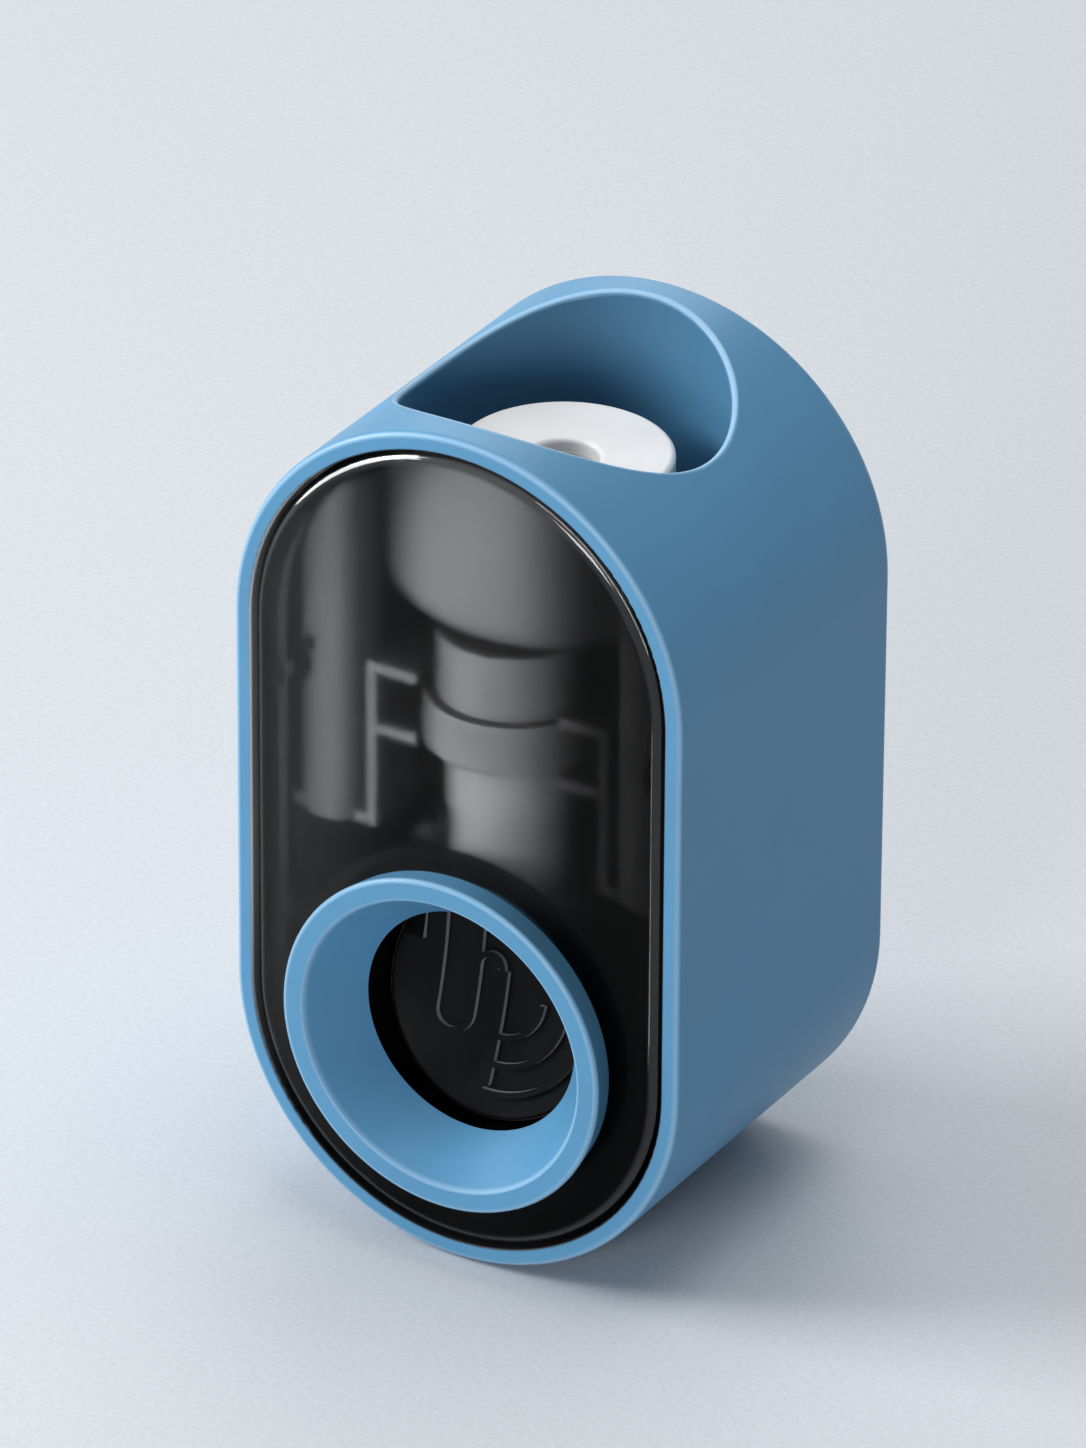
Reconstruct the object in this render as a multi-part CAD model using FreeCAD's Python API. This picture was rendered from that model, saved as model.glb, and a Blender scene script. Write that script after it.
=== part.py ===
import FreeCAD, Part
import math
import os

# Toothpaste dispenser with a hand-free pump.
# A paste tube stands head down in the well. A brush pushed through the ring swings the flap back,
# the flap's rear arms lift the nozzle, and the bellows above it presses paste out over the bristles.
# Millimetres, +Z up, front towards -Y, origin on the floor under the middle of the whole object.
# A depth is measured from the plane of the casing's front rim, towards the back.

# Casing
case_width = 76.0
arc_centre_span = 60.0
case_depth = 60.0
shell_wall = 2.9
front_edge_round = 1.0
front_inner_round = 0.4
rear_edge_round = 1.6
foot_proud = 0.4

# Clearances and the length by which a cutting tool passes the face it cuts
seat_gap = 0.1
fit_gap = 0.05
overrun = 6.0

# Points looked at along an edge, and a full turn in degrees
edge_samples = 7
full_turn_deg = 360.0

# Well for the paste tube, sunk in the casing's top
well_margin = 5.9
well_wall = 1.8
well_floor_rise = 63.6
well_floor = 2.0
well_corner_round = 7.0
well_lip_round = 0.8
well_outlet_radius = 9.0

# Ledge in the casing that carries the front panel's frame, with sockets for the frame's pegs
ledge_depth = 5.0
ledge_width = 3.1
ledge_thickness = 2.0
ledge_root = 0.5
peg_radius = 1.6
peg_length = 2.1
peg_offset = 10.0
peg_inset = 6.0
peg_boss_radius = 3.2

# Screws, and the four posts in the casing that take them
post_radius = 3.0
post_length = 11.0
post_rib_thickness = 2.4
lower_post_rise = 11.6
upper_post_drop = 8.0
screw_edge_margin = 3.9
screw_radius = 1.25
screw_length = 6.0
screw_head_radius = 2.4
screw_head_height = 1.5
screw_slot_width = 0.7
screw_slot_depth = 0.7
head_recess_gap = 0.3

# Foot strips under the round bottom
foot_inner = 8.0
foot_width = 5.0
foot_margin = 7.0

# Smoked front panel and the frame behind it
panel_gap = 0.25
panel_thickness = 2.3
panel_edge_round = 2.1
frame_inset = 0.2
frame_width = 3.0
frame_thickness = 2.5
frame_top_rise = 17.0

# Funnel ring in the panel, and its retainer
ring_proud = 4.5
ring_border = 7.9
ring_draft = 0.8
ring_face_width = 3.5
ring_funnel_set = 5.9
ring_throat_depth = 4.5
ring_wall = 1.8
ring_flange = 1.1
ring_spigot_wall = 1.5
ring_groove_depth = 0.6
ring_outer_round = 0.6
ring_mouth_round = 0.5
ring_hole_gap = 0.2
retainer_width = 3.7
retainer_thickness = 1.2

# Brush channel behind the ring
channel_half_width = 20.0
channel_wall = 1.6
channel_front_depth = 5.2
channel_top_rise = 22.6
tab_thickness = 2.0
tab_half_height = 4.0
tab_margin = 3.5

# Press flap, its pivot and its rear arms
pivot_depth = 18.5
pivot_rise = 18.6
pivot_radius = 1.5
pivot_boss_radius = 3.0
flap_radius = 18.8
flap_arm = 19.2
flap_lean_deg = 14.0
flap_swing_deg = 38.0
flap_thickness = 1.6
flap_dish_radius = 70.0
flap_rim_set = 1.5
flap_edge_round = 0.5
flap_top_drop = 4.0
ear_inner = 14.0
ear_width = 3.0
ear_drop = 14.0
ear_thickness = 4.0
ear_side_gap = 0.3
lift_arm = 7.7
lift_tip_radius = 1.5

# Raised ribs on the flap's face
rib_height = 0.9
rib_width = 0.9
rib_margin = 1.2
loop_middle = -8.0
loop_half_width = 3.0
loop_bottom = -4.6
arch_half_width = 2.05
arch_top = 3.4
post_rib_width = 2.0
post_rib_bottom = -14.0
curved_rib_count = 3
curved_rib_first = 6.6
curved_rib_step = 4.2

# Pump, hung under the well: head, collar nut, nozzle
pump_axis_depth = 17.0
head_gap = 0.5
neck_radius = 11.7
neck_height = 10.4
lobe_radius = 8.5
male_radius = 11.3
male_length = 4.4
spigot_radius = 5.4
spigot_length = 4.1
passage_radius = 3.2
passage_height = 4.5
passage_floor = 2.8
inlet_radius = 4.6
collar_radius = 13.6
collar_height = 8.0
collar_edge_round = 0.6
skirt_radius = 10.3
skirt_wall = 1.1
skirt_room = 0.2
skirt_overlap = 2.6
barrel_height = 10.0
nozzle_radius = 9.7
nozzle_height = 15.6
nozzle_floor = 1.6
nozzle_spigot = 2.4
outlet_depth = 12.6
outlet_radius = 4.4
outlet_pocket = 5.1
outlet_duct_radius = 2.8
duct_bend_height = 12.0

# Valves, outlet cap, bellows and spring
inlet_flange_radius = 6.1
inlet_flange_height = 1.4
inlet_body_radius = 4.2
inlet_body_length = 2.4
inlet_tip_length = 2.0
outlet_flange_height = 1.4
outlet_body_radius = 3.0
outlet_body_length = 1.4
outlet_tip_length = 1.5
valve_wall = 0.9
valve_slit = 0.3
cap_radius = 5.2
cap_plate = 1.0
bellows_collar_wall = 1.1
bellows_peak_radius = 8.6
bellows_wall = 0.8
bellows_folds = 3
spring_mean_radius = 4.3
spring_wire_radius = 0.4
spring_turns = 4
quarters_per_turn = 4

# Lift yoke on the nozzle
yoke_radius = 11.4
yoke_height = 2.6
yoke_contact_gap = 0.1
yoke_wing_reach = 17.5
yoke_wing_length = 4.0

# Tube socket and its seal
socket_rise = 19.6
socket_side_room = 7.9
socket_wall = 1.8
socket_plate = 2.0
socket_dish = 0.8
socket_edge_round = 0.8
socket_hole_radius = 5.2
socket_tube_radius = 8.5
socket_bore_radius = 7.0
seal_bore_radius = 5.0
seal_length = 10.0

# Pump bracket with a slotted arm on each side of the collar nut
bracket_lip_drop = 17.4
bracket_lip = 1.8
bracket_front_depth = 9.0
bracket_arm_inner = 19.0
bracket_arm_wall = 1.6
bracket_side_room = 1.7
bracket_back = 2.0
bracket_top_rise = 8.0
prong_inner = 12.2
prong_thickness = 1.6
prong_rear_depth = 30.0
prong_gap = 0.3
slot_stop_depth = 23.4
slot_stop_thickness = 1.6
cheek_radius = 6.2
cheek_wall = 1.4
cheek_set = 2.4
cheek_axis_depth = 13.4
cheek_height = 56.0
bracket_side_gap = 0.4

# Rear cover with a pocket for the wall plate
cover_thickness = 3.0
cover_gap = 0.2
pocket_depth = 2.6
pocket_floor = 2.4
pocket_rim = 2.0
hang_travel = 9.0
plate_side_room = 7.1
plate_height = 48.0
plate_bottom_rise = 11.6
plate_thickness = 1.8
plate_corner = 4.0
pocket_gap = 0.5
stud_inset = 9.4
stud_rise = 30.0
stud_radius = 2.0
stud_head_radius = 3.8
stud_head_thickness = 1.6
stud_gap = 0.3
pad_thickness = 1.1
pad_margin = 1.0

# Heights and depths worked out from the sizes above
case_radius = case_width / 2
inner_radius = case_radius - shell_wall
ring_face_radius = inner_radius - ring_border
ring_base_radius = ring_face_radius - ring_draft
ring_mouth_radius = ring_face_radius - ring_face_width
ring_throat_radius = ring_mouth_radius - ring_funnel_set
ring_spigot_radius = ring_base_radius - ring_flange
retainer_radius = ring_spigot_radius + retainer_width
low_z = foot_proud + case_radius
high_z = low_z + arc_centre_span
shell_top_z = high_z + case_radius
tube_axis_depth = case_depth / 2
well_radius = tube_axis_depth - well_margin
well_floor_z = low_z + well_floor_rise
well_bottom_z = well_floor_z - well_floor
head_top_z = well_bottom_z - head_gap
neck_bottom_z = head_top_z - neck_height
collar_top_z = neck_bottom_z - seat_gap
collar_bottom_z = collar_top_z - collar_height
skirt_top_z = collar_bottom_z + skirt_overlap
step_z = collar_bottom_z - barrel_height
nozzle_bottom_z = step_z - nozzle_height
chamber_floor_z = step_z + nozzle_floor
low_spigot_z = chamber_floor_z + nozzle_spigot
high_spigot_z = neck_bottom_z - spigot_length
pivot_z = low_z + pivot_rise
half_swing = math.radians(flap_swing_deg / 2)
tip_depth = pivot_depth + lift_arm * math.cos(half_swing)
tip_z = pivot_z - lift_arm * math.sin(half_swing)
yoke_bottom_z = tip_z + lift_tip_radius + yoke_contact_gap
socket_radius = well_radius - socket_side_room
socket_top_z = well_floor_z + socket_rise
socket_foot_z = head_top_z + seat_gap
socket_ceiling_z = socket_top_z - socket_dish - socket_plate
cover_front_depth = case_depth - cover_thickness
post_front_depth = cover_front_depth - post_length
pocket_back_depth = case_depth - pocket_depth
plate_front_depth = pocket_back_depth + seat_gap
plate_back_depth = plate_front_depth + plate_thickness
pad_back_depth = plate_back_depth + pad_thickness
plate_bottom_z = low_z + plate_bottom_rise
stud_z = plate_bottom_z + stud_rise
peg_x = case_radius - peg_inset
bracket_half_width = inner_radius - bracket_side_room
post_x = bracket_half_width - screw_edge_margin
lower_post_z = low_z + lower_post_rise
upper_post_z = well_bottom_z - upper_post_drop
cheek_middle = post_x - cheek_set
plate_half_width = post_x - plate_side_room
stud_half_spacing = plate_half_width - stud_inset
lip_z = collar_bottom_z - bracket_lip_drop
front_y = (ring_proud - pad_back_depth) / 2
sides = (-1, 1)


def deep(depth):
    """Y of a depth behind the front rim."""
    return front_y + depth


def spot(x, depth, z):
    """Point from its place across, its depth and its height."""
    return FreeCAD.Vector(x, deep(depth), z)


def block(x_low, x_high, depth_low, depth_high, z_low, z_high):
    """Box between two corners."""
    size = (x_high - x_low, depth_high - depth_low, z_high - z_low)
    return Part.makeBox(*size, spot(x_low, depth_low, z_low))


def side_block(side, x_near, x_far, *span):
    """Box between two distances from the middle plane, on one side of it."""
    x_low, x_high = sorted((side * x_near, side * x_far))
    return block(x_low, x_high, *span)


def upright(radius, depth, z_low, z_high):
    """Vertical cylinder in the middle plane."""
    return Part.makeCylinder(radius, z_high - z_low, spot(0, depth, z_low), FreeCAD.Vector(0, 0, 1))


def bar(radius, x, z, depth_low, depth_high):
    """Cylinder from front to back."""
    return Part.makeCylinder(radius, depth_high - depth_low, spot(x, depth_low, z), FreeCAD.Vector(0, 1, 0))


def cross_pin(radius, side, x_near, x_far, depth, z):
    """Cylinder from side to side, on one side of the middle plane."""
    start = spot(side * x_near, depth, z)
    return Part.makeCylinder(radius, x_far - x_near, start, FreeCAD.Vector(side, 0, 0))


def stadium(radius, depth_low, depth_high):
    """Prism of the casing's outline: two half circles joined by straight sides."""
    right_low = spot(radius, depth_low, low_z)
    right_high = spot(radius, depth_low, high_z)
    left_high = spot(-radius, depth_low, high_z)
    left_low = spot(-radius, depth_low, low_z)
    edges = [
        Part.LineSegment(right_low, right_high),
        Part.Arc(right_high, spot(0, depth_low, high_z + radius), left_high),
        Part.LineSegment(left_high, left_low),
        Part.Arc(left_low, spot(0, depth_low, low_z - radius), right_low),
    ]
    outline = Part.Wire([edge.toShape() for edge in edges])
    return Part.Face(outline).extrude(FreeCAD.Vector(0, depth_high - depth_low, 0))


def turned(points, depth):
    """Solid turned about a vertical axis, from (radius, height) points."""
    corners = [spot(radius, depth, z) for radius, z in points]
    face = Part.Face(Part.makePolygon(corners + corners[:1]))
    return face.revolve(spot(0, depth, 0), FreeCAD.Vector(0, 0, 1), full_turn_deg)


def turned_facing(points, z):
    """Solid turned about a front-to-back axis, from (radius, depth) points."""
    corners = [spot(radius, depth, z) for radius, depth in points]
    face = Part.Face(Part.makePolygon(corners + corners[:1]))
    return face.revolve(spot(0, 0, z), FreeCAD.Vector(0, 1, 0), full_turn_deg)


def joined(shapes):
    """One solid from shapes that overlap."""
    return shapes[0].multiFuse(shapes[1:]).removeSplitter()


def round_edges(shape, radius, wanted):
    """Round the edges for which every sampled point passes the test."""
    edges = []
    for edge in shape.Edges:
        if not edge.Degenerated and all(wanted(point) for point in edge.discretize(Number=edge_samples)):
            edges.append(edge)
    return shape.makeFillet(radius, edges)


def on_plane(depth):
    """Test for points on the plane at a depth."""
    return lambda point: abs(point.y - deep(depth)) < fit_gap


def at_height(z):
    """Test for points at a height."""
    return lambda point: abs(point.z - z) < fit_gap


def slab(half_width, z_low, z_high, depth_low, depth_high, corner):
    """Plate with rounded corners, upright and facing front."""
    plate = block(-half_width, half_width, depth_low, depth_high, z_low, z_high)
    corners = [edge for edge in plate.Edges if edge.tangentAt(edge.FirstParameter).y != 0]
    return plate.makeFillet(corner, corners)


def screw(x, z, head_depth, way):
    """Slotted pan screw: its head meets the piece at head_depth and its shank runs the way given."""
    axis = FreeCAD.Vector(0, way, 0)
    under_head = spot(x, head_depth - way * seat_gap, z)
    shank = Part.makeCylinder(screw_radius, screw_length + seat_gap, under_head, axis)
    head = Part.makeCylinder(screw_head_radius, screw_head_height, under_head, -axis)
    top_depth = head_depth - way * (seat_gap + screw_head_height)
    slot_ends = sorted((top_depth - way * overrun, top_depth + way * screw_slot_depth))
    half_slot = screw_slot_width / 2
    slot = block(x - screw_head_radius, x + screw_head_radius, *slot_ends, z - half_slot, z + half_slot)
    return joined([shank, head]).cut(slot)


def post_holes(z):
    """Clearance holes for the two screws at one height, through the whole case."""
    radius = screw_radius + fit_gap
    return [bar(radius, side * post_x, z, -overrun, case_depth + overrun) for side in sides]


def make_main_shell():
    """Casing: open stadium tube with the tube well, the ledge and the screw posts in it."""
    outer = stadium(case_radius, 0, case_depth)
    outer = round_edges(outer, front_edge_round, on_plane(0))
    outer = round_edges(outer, rear_edge_round, on_plane(case_depth))
    shell = outer.cut(stadium(inner_radius, -overrun, case_depth + overrun))
    ledge = stadium(inner_radius + ledge_root, ledge_depth, ledge_depth + ledge_thickness)
    ledge = ledge.cut(stadium(inner_radius - ledge_width, 0, case_depth))
    sleeve = upright(well_radius + well_wall, tube_axis_depth, well_bottom_z, shell_top_z)
    sleeve = round_edges(sleeve, well_corner_round, at_height(well_bottom_z))
    sleeve = sleeve.common(stadium(inner_radius + shell_wall / 2, 0, case_depth))
    pieces = [shell, ledge, sleeve]
    half_rib = post_rib_thickness / 2
    post_ends = (post_front_depth, cover_front_depth)
    for side in sides:
        for z in (lower_post_z, upper_post_z):
            pieces.append(bar(post_radius, side * post_x, z, *post_ends))
            rib_heights = (z - half_rib, z + half_rib)
            pieces.append(side_block(side, post_x, inner_radius + ledge_root, *post_ends, *rib_heights))
        for z in peg_heights():
            boss = bar(peg_boss_radius, side * peg_x, z, ledge_depth, ledge_depth + ledge_thickness)
            pieces.append(boss.common(stadium(inner_radius + ledge_root, 0, case_depth)))
    shell = joined(pieces)
    tools = post_holes_in_posts()
    bore = upright(well_radius, tube_axis_depth, well_floor_z, shell_top_z + overrun)
    bore = round_edges(bore, well_corner_round - well_wall, at_height(well_floor_z))
    tools.append(bore)
    tools.append(upright(well_outlet_radius, tube_axis_depth, well_bottom_z - overrun, shell_top_z))
    for side in sides:
        for z in peg_heights():
            tools.append(bar(peg_radius + fit_gap, side * peg_x, z, 0, post_front_depth))
    for tool in tools:
        shell = shell.cut(tool)
    shell = round_edges(shell, well_lip_round, on_well_lip)
    return round_edges(shell, front_inner_round, on_front_inner_edge)


def post_holes_in_posts():
    """Pilot holes along the four posts."""
    radius = screw_radius + fit_gap
    ends = (post_front_depth - ledge_thickness, case_depth)
    return [bar(radius, side * post_x, z, *ends) for side in sides for z in (lower_post_z, upper_post_z)]


def peg_heights():
    """Heights of the frame's pegs."""
    return (low_z + peg_offset, high_z - peg_offset)


def on_well_lip(point):
    """True on the edge where the well opens in the casing's top."""
    from_axis = math.hypot(point.x, point.y - deep(tube_axis_depth))
    from_arc = math.hypot(point.x, point.z - high_z)
    return abs(from_axis - well_radius) < fit_gap and abs(from_arc - case_radius) < fit_gap


def on_front_inner_edge(point):
    """True on the inner edge of the casing's front rim."""
    rise = max(point.z - high_z, low_z - point.z, 0)
    from_middle = math.hypot(point.x, rise)
    return on_plane(0)(point) and abs(from_middle - inner_radius) < fit_gap


def make_foot_strips():
    """Two soft strips that fill the gap between the round bottom and the floor."""
    foot_ends = (foot_margin, case_depth - foot_margin)
    strips = []
    for side in sides:
        strip = side_block(side, foot_inner, foot_inner + foot_width, *foot_ends, 0, low_z)
        strips.append(strip.cut(stadium(case_radius, 0, case_depth)))
    return Part.makeCompound(strips)


def make_front_panel():
    """Smoked panel with a rounded front edge and the ring's hole."""
    panel = stadium(inner_radius - panel_gap, 0, panel_thickness)
    panel = round_edges(panel, panel_edge_round, on_plane(0))
    hole = bar(ring_spigot_radius + ring_hole_gap, 0, low_z, -overrun, case_depth)
    return panel.cut(hole)


def make_panel_frame():
    """Band behind the panel's edge, open at the top where the well is, with four pegs."""
    outer = inner_radius - panel_gap - frame_inset
    rear = panel_thickness + frame_thickness
    frame = stadium(outer, panel_thickness, rear).cut(stadium(outer - frame_width, 0, case_depth))
    open_z = high_z + frame_top_rise
    frame = frame.cut(block(-case_radius, case_radius, 0, case_depth, open_z, shell_top_z))
    pegs = []
    for side in sides:
        for z in peg_heights():
            pegs.append(bar(peg_radius, side * peg_x, z, panel_thickness, rear + peg_length))
    return joined([frame] + pegs)


def make_brush_ring():
    """Funnel ring: flat face, cone to the throat, and a spigot through the panel."""
    slope = (ring_mouth_radius - ring_throat_radius) / (ring_proud + ring_throat_depth)
    back_radius = ring_throat_radius + ring_wall
    groove_radius = back_radius + slope * (ring_throat_depth - ring_groove_depth)
    spigot_depth = panel_thickness + retainer_thickness + seat_gap
    spigot_inner = ring_spigot_radius - ring_spigot_wall
    ring = turned_facing([
        (ring_base_radius, 0),
        (ring_face_radius, -ring_proud),
        (ring_mouth_radius, -ring_proud),
        (ring_throat_radius, ring_throat_depth),
        (back_radius, ring_throat_depth),
        (groove_radius, ring_groove_depth),
        (spigot_inner, ring_groove_depth),
        (spigot_inner, spigot_depth),
        (ring_spigot_radius, spigot_depth),
        (ring_spigot_radius, 0),
    ], low_z)
    for radius, edge_round in ((ring_face_radius, ring_outer_round), (ring_mouth_radius, ring_mouth_round)):
        ring = round_edges(ring, edge_round, on_ring_face(radius))
    return ring


def on_ring_face(radius):
    """Test for points on a circle of the ring's front face."""
    def wanted(point):
        from_axis = math.hypot(point.x, point.z - low_z)
        return on_plane(-ring_proud)(point) and abs(from_axis - radius) < fit_gap
    return wanted


def make_ring_retainer():
    """Flat ring pressed on the spigot behind the panel."""
    inner = ring_spigot_radius + fit_gap
    ends = (panel_thickness + fit_gap, panel_thickness + fit_gap + retainer_thickness)
    return bar(retainer_radius, 0, low_z, *ends).cut(bar(inner, 0, low_z, 0, case_depth))


def trough(half_width, depth_low, depth_high, top_z):
    """Prism with a half-round bottom about the lower arc centre and upright sides."""
    bottom = bar(half_width, 0, low_z, depth_low, depth_high)
    return joined([bottom, block(-half_width, half_width, depth_low, depth_high, low_z, top_z)])


def make_brush_channel():
    """Black channel in which the brush head and the flap move, open at the front and top."""
    top_z = low_z + channel_top_rise
    rear = post_front_depth
    inside_rear = rear - channel_wall
    outer_half = channel_half_width + channel_wall
    channel = trough(outer_half, channel_front_depth, rear, top_z)
    channel = channel.cut(trough(channel_half_width, 0, inside_rear, top_z + overrun))
    pieces = [channel]
    for side in sides:
        pieces.append(side_block(side, channel_half_width, post_x + tab_margin, rear - tab_thickness, rear,
                                 lower_post_z - tab_half_height, lower_post_z + tab_half_height))
        ear_outer = ear_inner + ear_width
        pieces.append(cross_pin(pivot_boss_radius, side, ear_outer + ear_side_gap, outer_half,
                                pivot_depth, pivot_z))
    channel = joined(pieces)
    head_room = screw_head_radius + head_recess_gap
    for side in sides:
        channel = channel.cut(bar(head_room, side * post_x, lower_post_z, 0, rear - tab_thickness))
    for hole in post_holes(lower_post_z):
        channel = channel.cut(hole)
    for side in sides:
        pin_radius = pivot_radius + fit_gap / 2
        channel = channel.cut(cross_pin(pin_radius, side, 0, case_radius, pivot_depth, pivot_z))
    return channel


def make_pivot_pins():
    """Two stub pins that carry the flap."""
    inner = ear_inner - ear_side_gap
    outer = channel_half_width + channel_wall
    pins = [cross_pin(pivot_radius, side, inner, outer, pivot_depth, pivot_z) for side in sides]
    return Part.makeCompound(pins)


def dish_layer(front, back, radius, middle_depth, middle_z):
    """Layer of the flap's dish between a front and a back offset from its face."""
    front_radius = flap_dish_radius - front
    back_radius = flap_dish_radius + back
    centre_depth = middle_depth - flap_dish_radius

    def on_dish(dish, share):
        out = radius * share
        return spot(out, centre_depth + math.sqrt(dish * dish - out * out), middle_z)

    front_arc = Part.Arc(*[on_dish(front_radius, share) for share in (0, 0.5, 1)])
    back_arc = Part.Arc(*[on_dish(back_radius, share) for share in (1, 0.5, 0)])
    rim = Part.LineSegment(on_dish(front_radius, 1), on_dish(back_radius, 1))
    axis = Part.LineSegment(on_dish(back_radius, 0), on_dish(front_radius, 0))
    outline = Part.Wire([edge.toShape() for edge in (front_arc, rim, back_arc, axis)])
    return Part.Face(outline).revolve(spot(0, 0, middle_z), FreeCAD.Vector(0, 1, 0), full_turn_deg)


def hairpin(middle_x, half_width, bend_z, end_z, ends):
    """Band bent into a half circle at bend_z, with straight legs that run to end_z."""
    band = None
    for reach in (half_width + rib_width / 2, half_width - rib_width / 2):
        legs = block(middle_x - reach, middle_x + reach, *ends, min(bend_z, end_z), max(bend_z, end_z))
        outline = joined([bar(reach, middle_x, bend_z, *ends), legs])
        band = outline if band is None else band.cut(outline)
    return band


def flap_ribs(middle_depth, middle_z):
    """Raised lines on the flap: a loop, an arch beside it, a post and curved ribs to its right."""
    ends = (middle_depth - overrun, middle_depth + flap_thickness)
    top_z = middle_z + flap_radius
    arch_z = middle_z + arch_top
    loop_z = middle_z + loop_bottom
    post_bottom_z = middle_z + post_rib_bottom
    arch_middle = loop_middle + loop_half_width + arch_half_width
    post_middle = arch_middle + arch_half_width
    half_post = post_rib_width / 2
    bands = [
        hairpin(loop_middle, loop_half_width, loop_z, top_z, ends),
        hairpin(arch_middle, arch_half_width, arch_z, loop_z, ends),
        block(post_middle - half_post, post_middle + half_post, *ends, post_bottom_z, arch_z),
    ]
    quarter = block(post_middle, flap_radius, *ends, middle_z - flap_radius, middle_z)
    for number in range(curved_rib_count):
        radius = curved_rib_first + number * curved_rib_step
        outside = bar(radius + rib_width / 2, 0, middle_z, *ends)
        inside = bar(radius - rib_width / 2, 0, middle_z, *ends)
        bands.append(outside.cut(inside).common(quarter))
    layer = dish_layer(rib_height, flap_thickness / 2, flap_radius - rib_margin, middle_depth, middle_z)
    return [band.common(layer) for band in bands]


def make_press_flap():
    """Dished flap hung on two ears, with an arm behind each ear that lifts the yoke."""
    sagitta = flap_dish_radius - math.sqrt(flap_dish_radius ** 2 - flap_radius ** 2)
    middle_depth = pivot_depth - flap_rim_set + sagitta
    middle_z = pivot_z - flap_arm
    dish = dish_layer(0, flap_thickness, flap_radius, middle_depth, middle_z)
    dish = round_edges(dish, flap_edge_round, on_flap_rim(middle_depth - sagitta, middle_z))
    plate = joined([dish] + flap_ribs(middle_depth, middle_z))
    cut_z = pivot_z - flap_top_drop
    plate = plate.cut(block(-case_radius, case_radius, 0, case_depth, cut_z, shell_top_z))
    hanging = [plate]
    for side in sides:
        hanging.append(side_block(side, ear_inner, ear_inner + ear_width, pivot_depth - flap_rim_set,
                                  pivot_depth - flap_rim_set + ear_thickness, pivot_z - ear_drop, pivot_z))
    flap = joined(hanging)
    pivot = spot(0, pivot_depth, pivot_z)
    across = FreeCAD.Vector(1, 0, 0)
    flap.rotate(pivot, across, -flap_lean_deg)
    arms = []
    for side in sides:
        x_ends = (ear_inner, ear_inner + ear_width)
        arms.append(cross_pin(pivot_boss_radius, side, *x_ends, pivot_depth, pivot_z))
        arms.append(cross_pin(lift_tip_radius, side, *x_ends, tip_depth, tip_z))
        arm = side_block(side, *x_ends, pivot_depth, pivot_depth + lift_arm,
                         pivot_z - lift_tip_radius, pivot_z)
        arm.rotate(pivot, across, -flap_swing_deg / 2)
        arms.append(arm)
    flap = joined([flap] + arms)
    for side in sides:
        flap = flap.cut(cross_pin(pivot_radius + fit_gap, side, 0, case_radius, pivot_depth, pivot_z))
    return flap


def on_flap_rim(rim_depth, middle_z):
    """Test for points on the front edge of the flap's rim."""
    def wanted(point):
        from_axis = math.hypot(point.x, point.z - middle_z)
        return on_plane(rim_depth)(point) and abs(from_axis - flap_radius) < fit_gap
    return wanted


def make_tube_socket():
    """White seat for the tube's mouth: dished top, outer skirt and a centre tube down to the pump."""
    plate_z = socket_top_z - socket_plate
    foot_z = well_floor_z + seat_gap
    inner_skirt = socket_radius - socket_wall
    socket = turned([
        (socket_hole_radius, socket_top_z - socket_dish),
        (socket_radius, socket_top_z),
        (socket_radius, foot_z),
        (inner_skirt, foot_z),
        (inner_skirt, plate_z),
        (socket_tube_radius, plate_z - socket_dish),
        (socket_tube_radius, socket_foot_z),
        (socket_bore_radius, socket_foot_z),
        (socket_bore_radius, socket_ceiling_z),
        (socket_hole_radius, socket_ceiling_z),
    ], tube_axis_depth)
    for radius, z in ((socket_radius, socket_top_z), (socket_hole_radius, socket_top_z - socket_dish)):
        socket = round_edges(socket, socket_edge_round, on_socket_edge(radius, z))
    return socket


def on_socket_edge(radius, z):
    """Test for points on a circle about the tube's axis."""
    def wanted(point):
        from_axis = math.hypot(point.x, point.y - deep(tube_axis_depth))
        return at_height(z)(point) and abs(from_axis - radius) < fit_gap
    return wanted


def make_socket_seal():
    """Soft sleeve that grips the mouth of the paste tube."""
    top_z = socket_ceiling_z - fit_gap
    outer = upright(socket_bore_radius - fit_gap, tube_axis_depth, top_z - seal_length, top_z)
    return outer.cut(upright(seal_bore_radius, tube_axis_depth, 0, shell_top_z))


def make_pump_head():
    """Neck with a rear lobe under the socket, and a passage from the lobe to the bellows."""
    passage_z = neck_bottom_z + passage_floor
    head = joined([
        upright(neck_radius, pump_axis_depth, neck_bottom_z, head_top_z),
        upright(lobe_radius, tube_axis_depth, neck_bottom_z, head_top_z),
        block(-lobe_radius, lobe_radius, pump_axis_depth, tube_axis_depth, neck_bottom_z, head_top_z),
    ])
    male = upright(male_radius, pump_axis_depth, collar_top_z - male_length, neck_bottom_z)
    male = male.cut(upright(skirt_radius + skirt_room, pump_axis_depth, 0, shell_top_z))
    spigot = upright(spigot_radius, pump_axis_depth, high_spigot_z, neck_bottom_z)
    head = joined([head, male, spigot])
    flange_z = head_top_z - inlet_flange_height
    tools = [
        upright(inlet_flange_radius + fit_gap, tube_axis_depth, flange_z, shell_top_z),
        upright(inlet_radius, tube_axis_depth, passage_z, shell_top_z),
        block(-passage_radius, passage_radius, pump_axis_depth, tube_axis_depth,
              passage_z, passage_z + passage_height),
        upright(passage_radius, pump_axis_depth, 0, passage_z + passage_height),
    ]
    for tool in tools:
        head = head.cut(tool)
    return head


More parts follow.
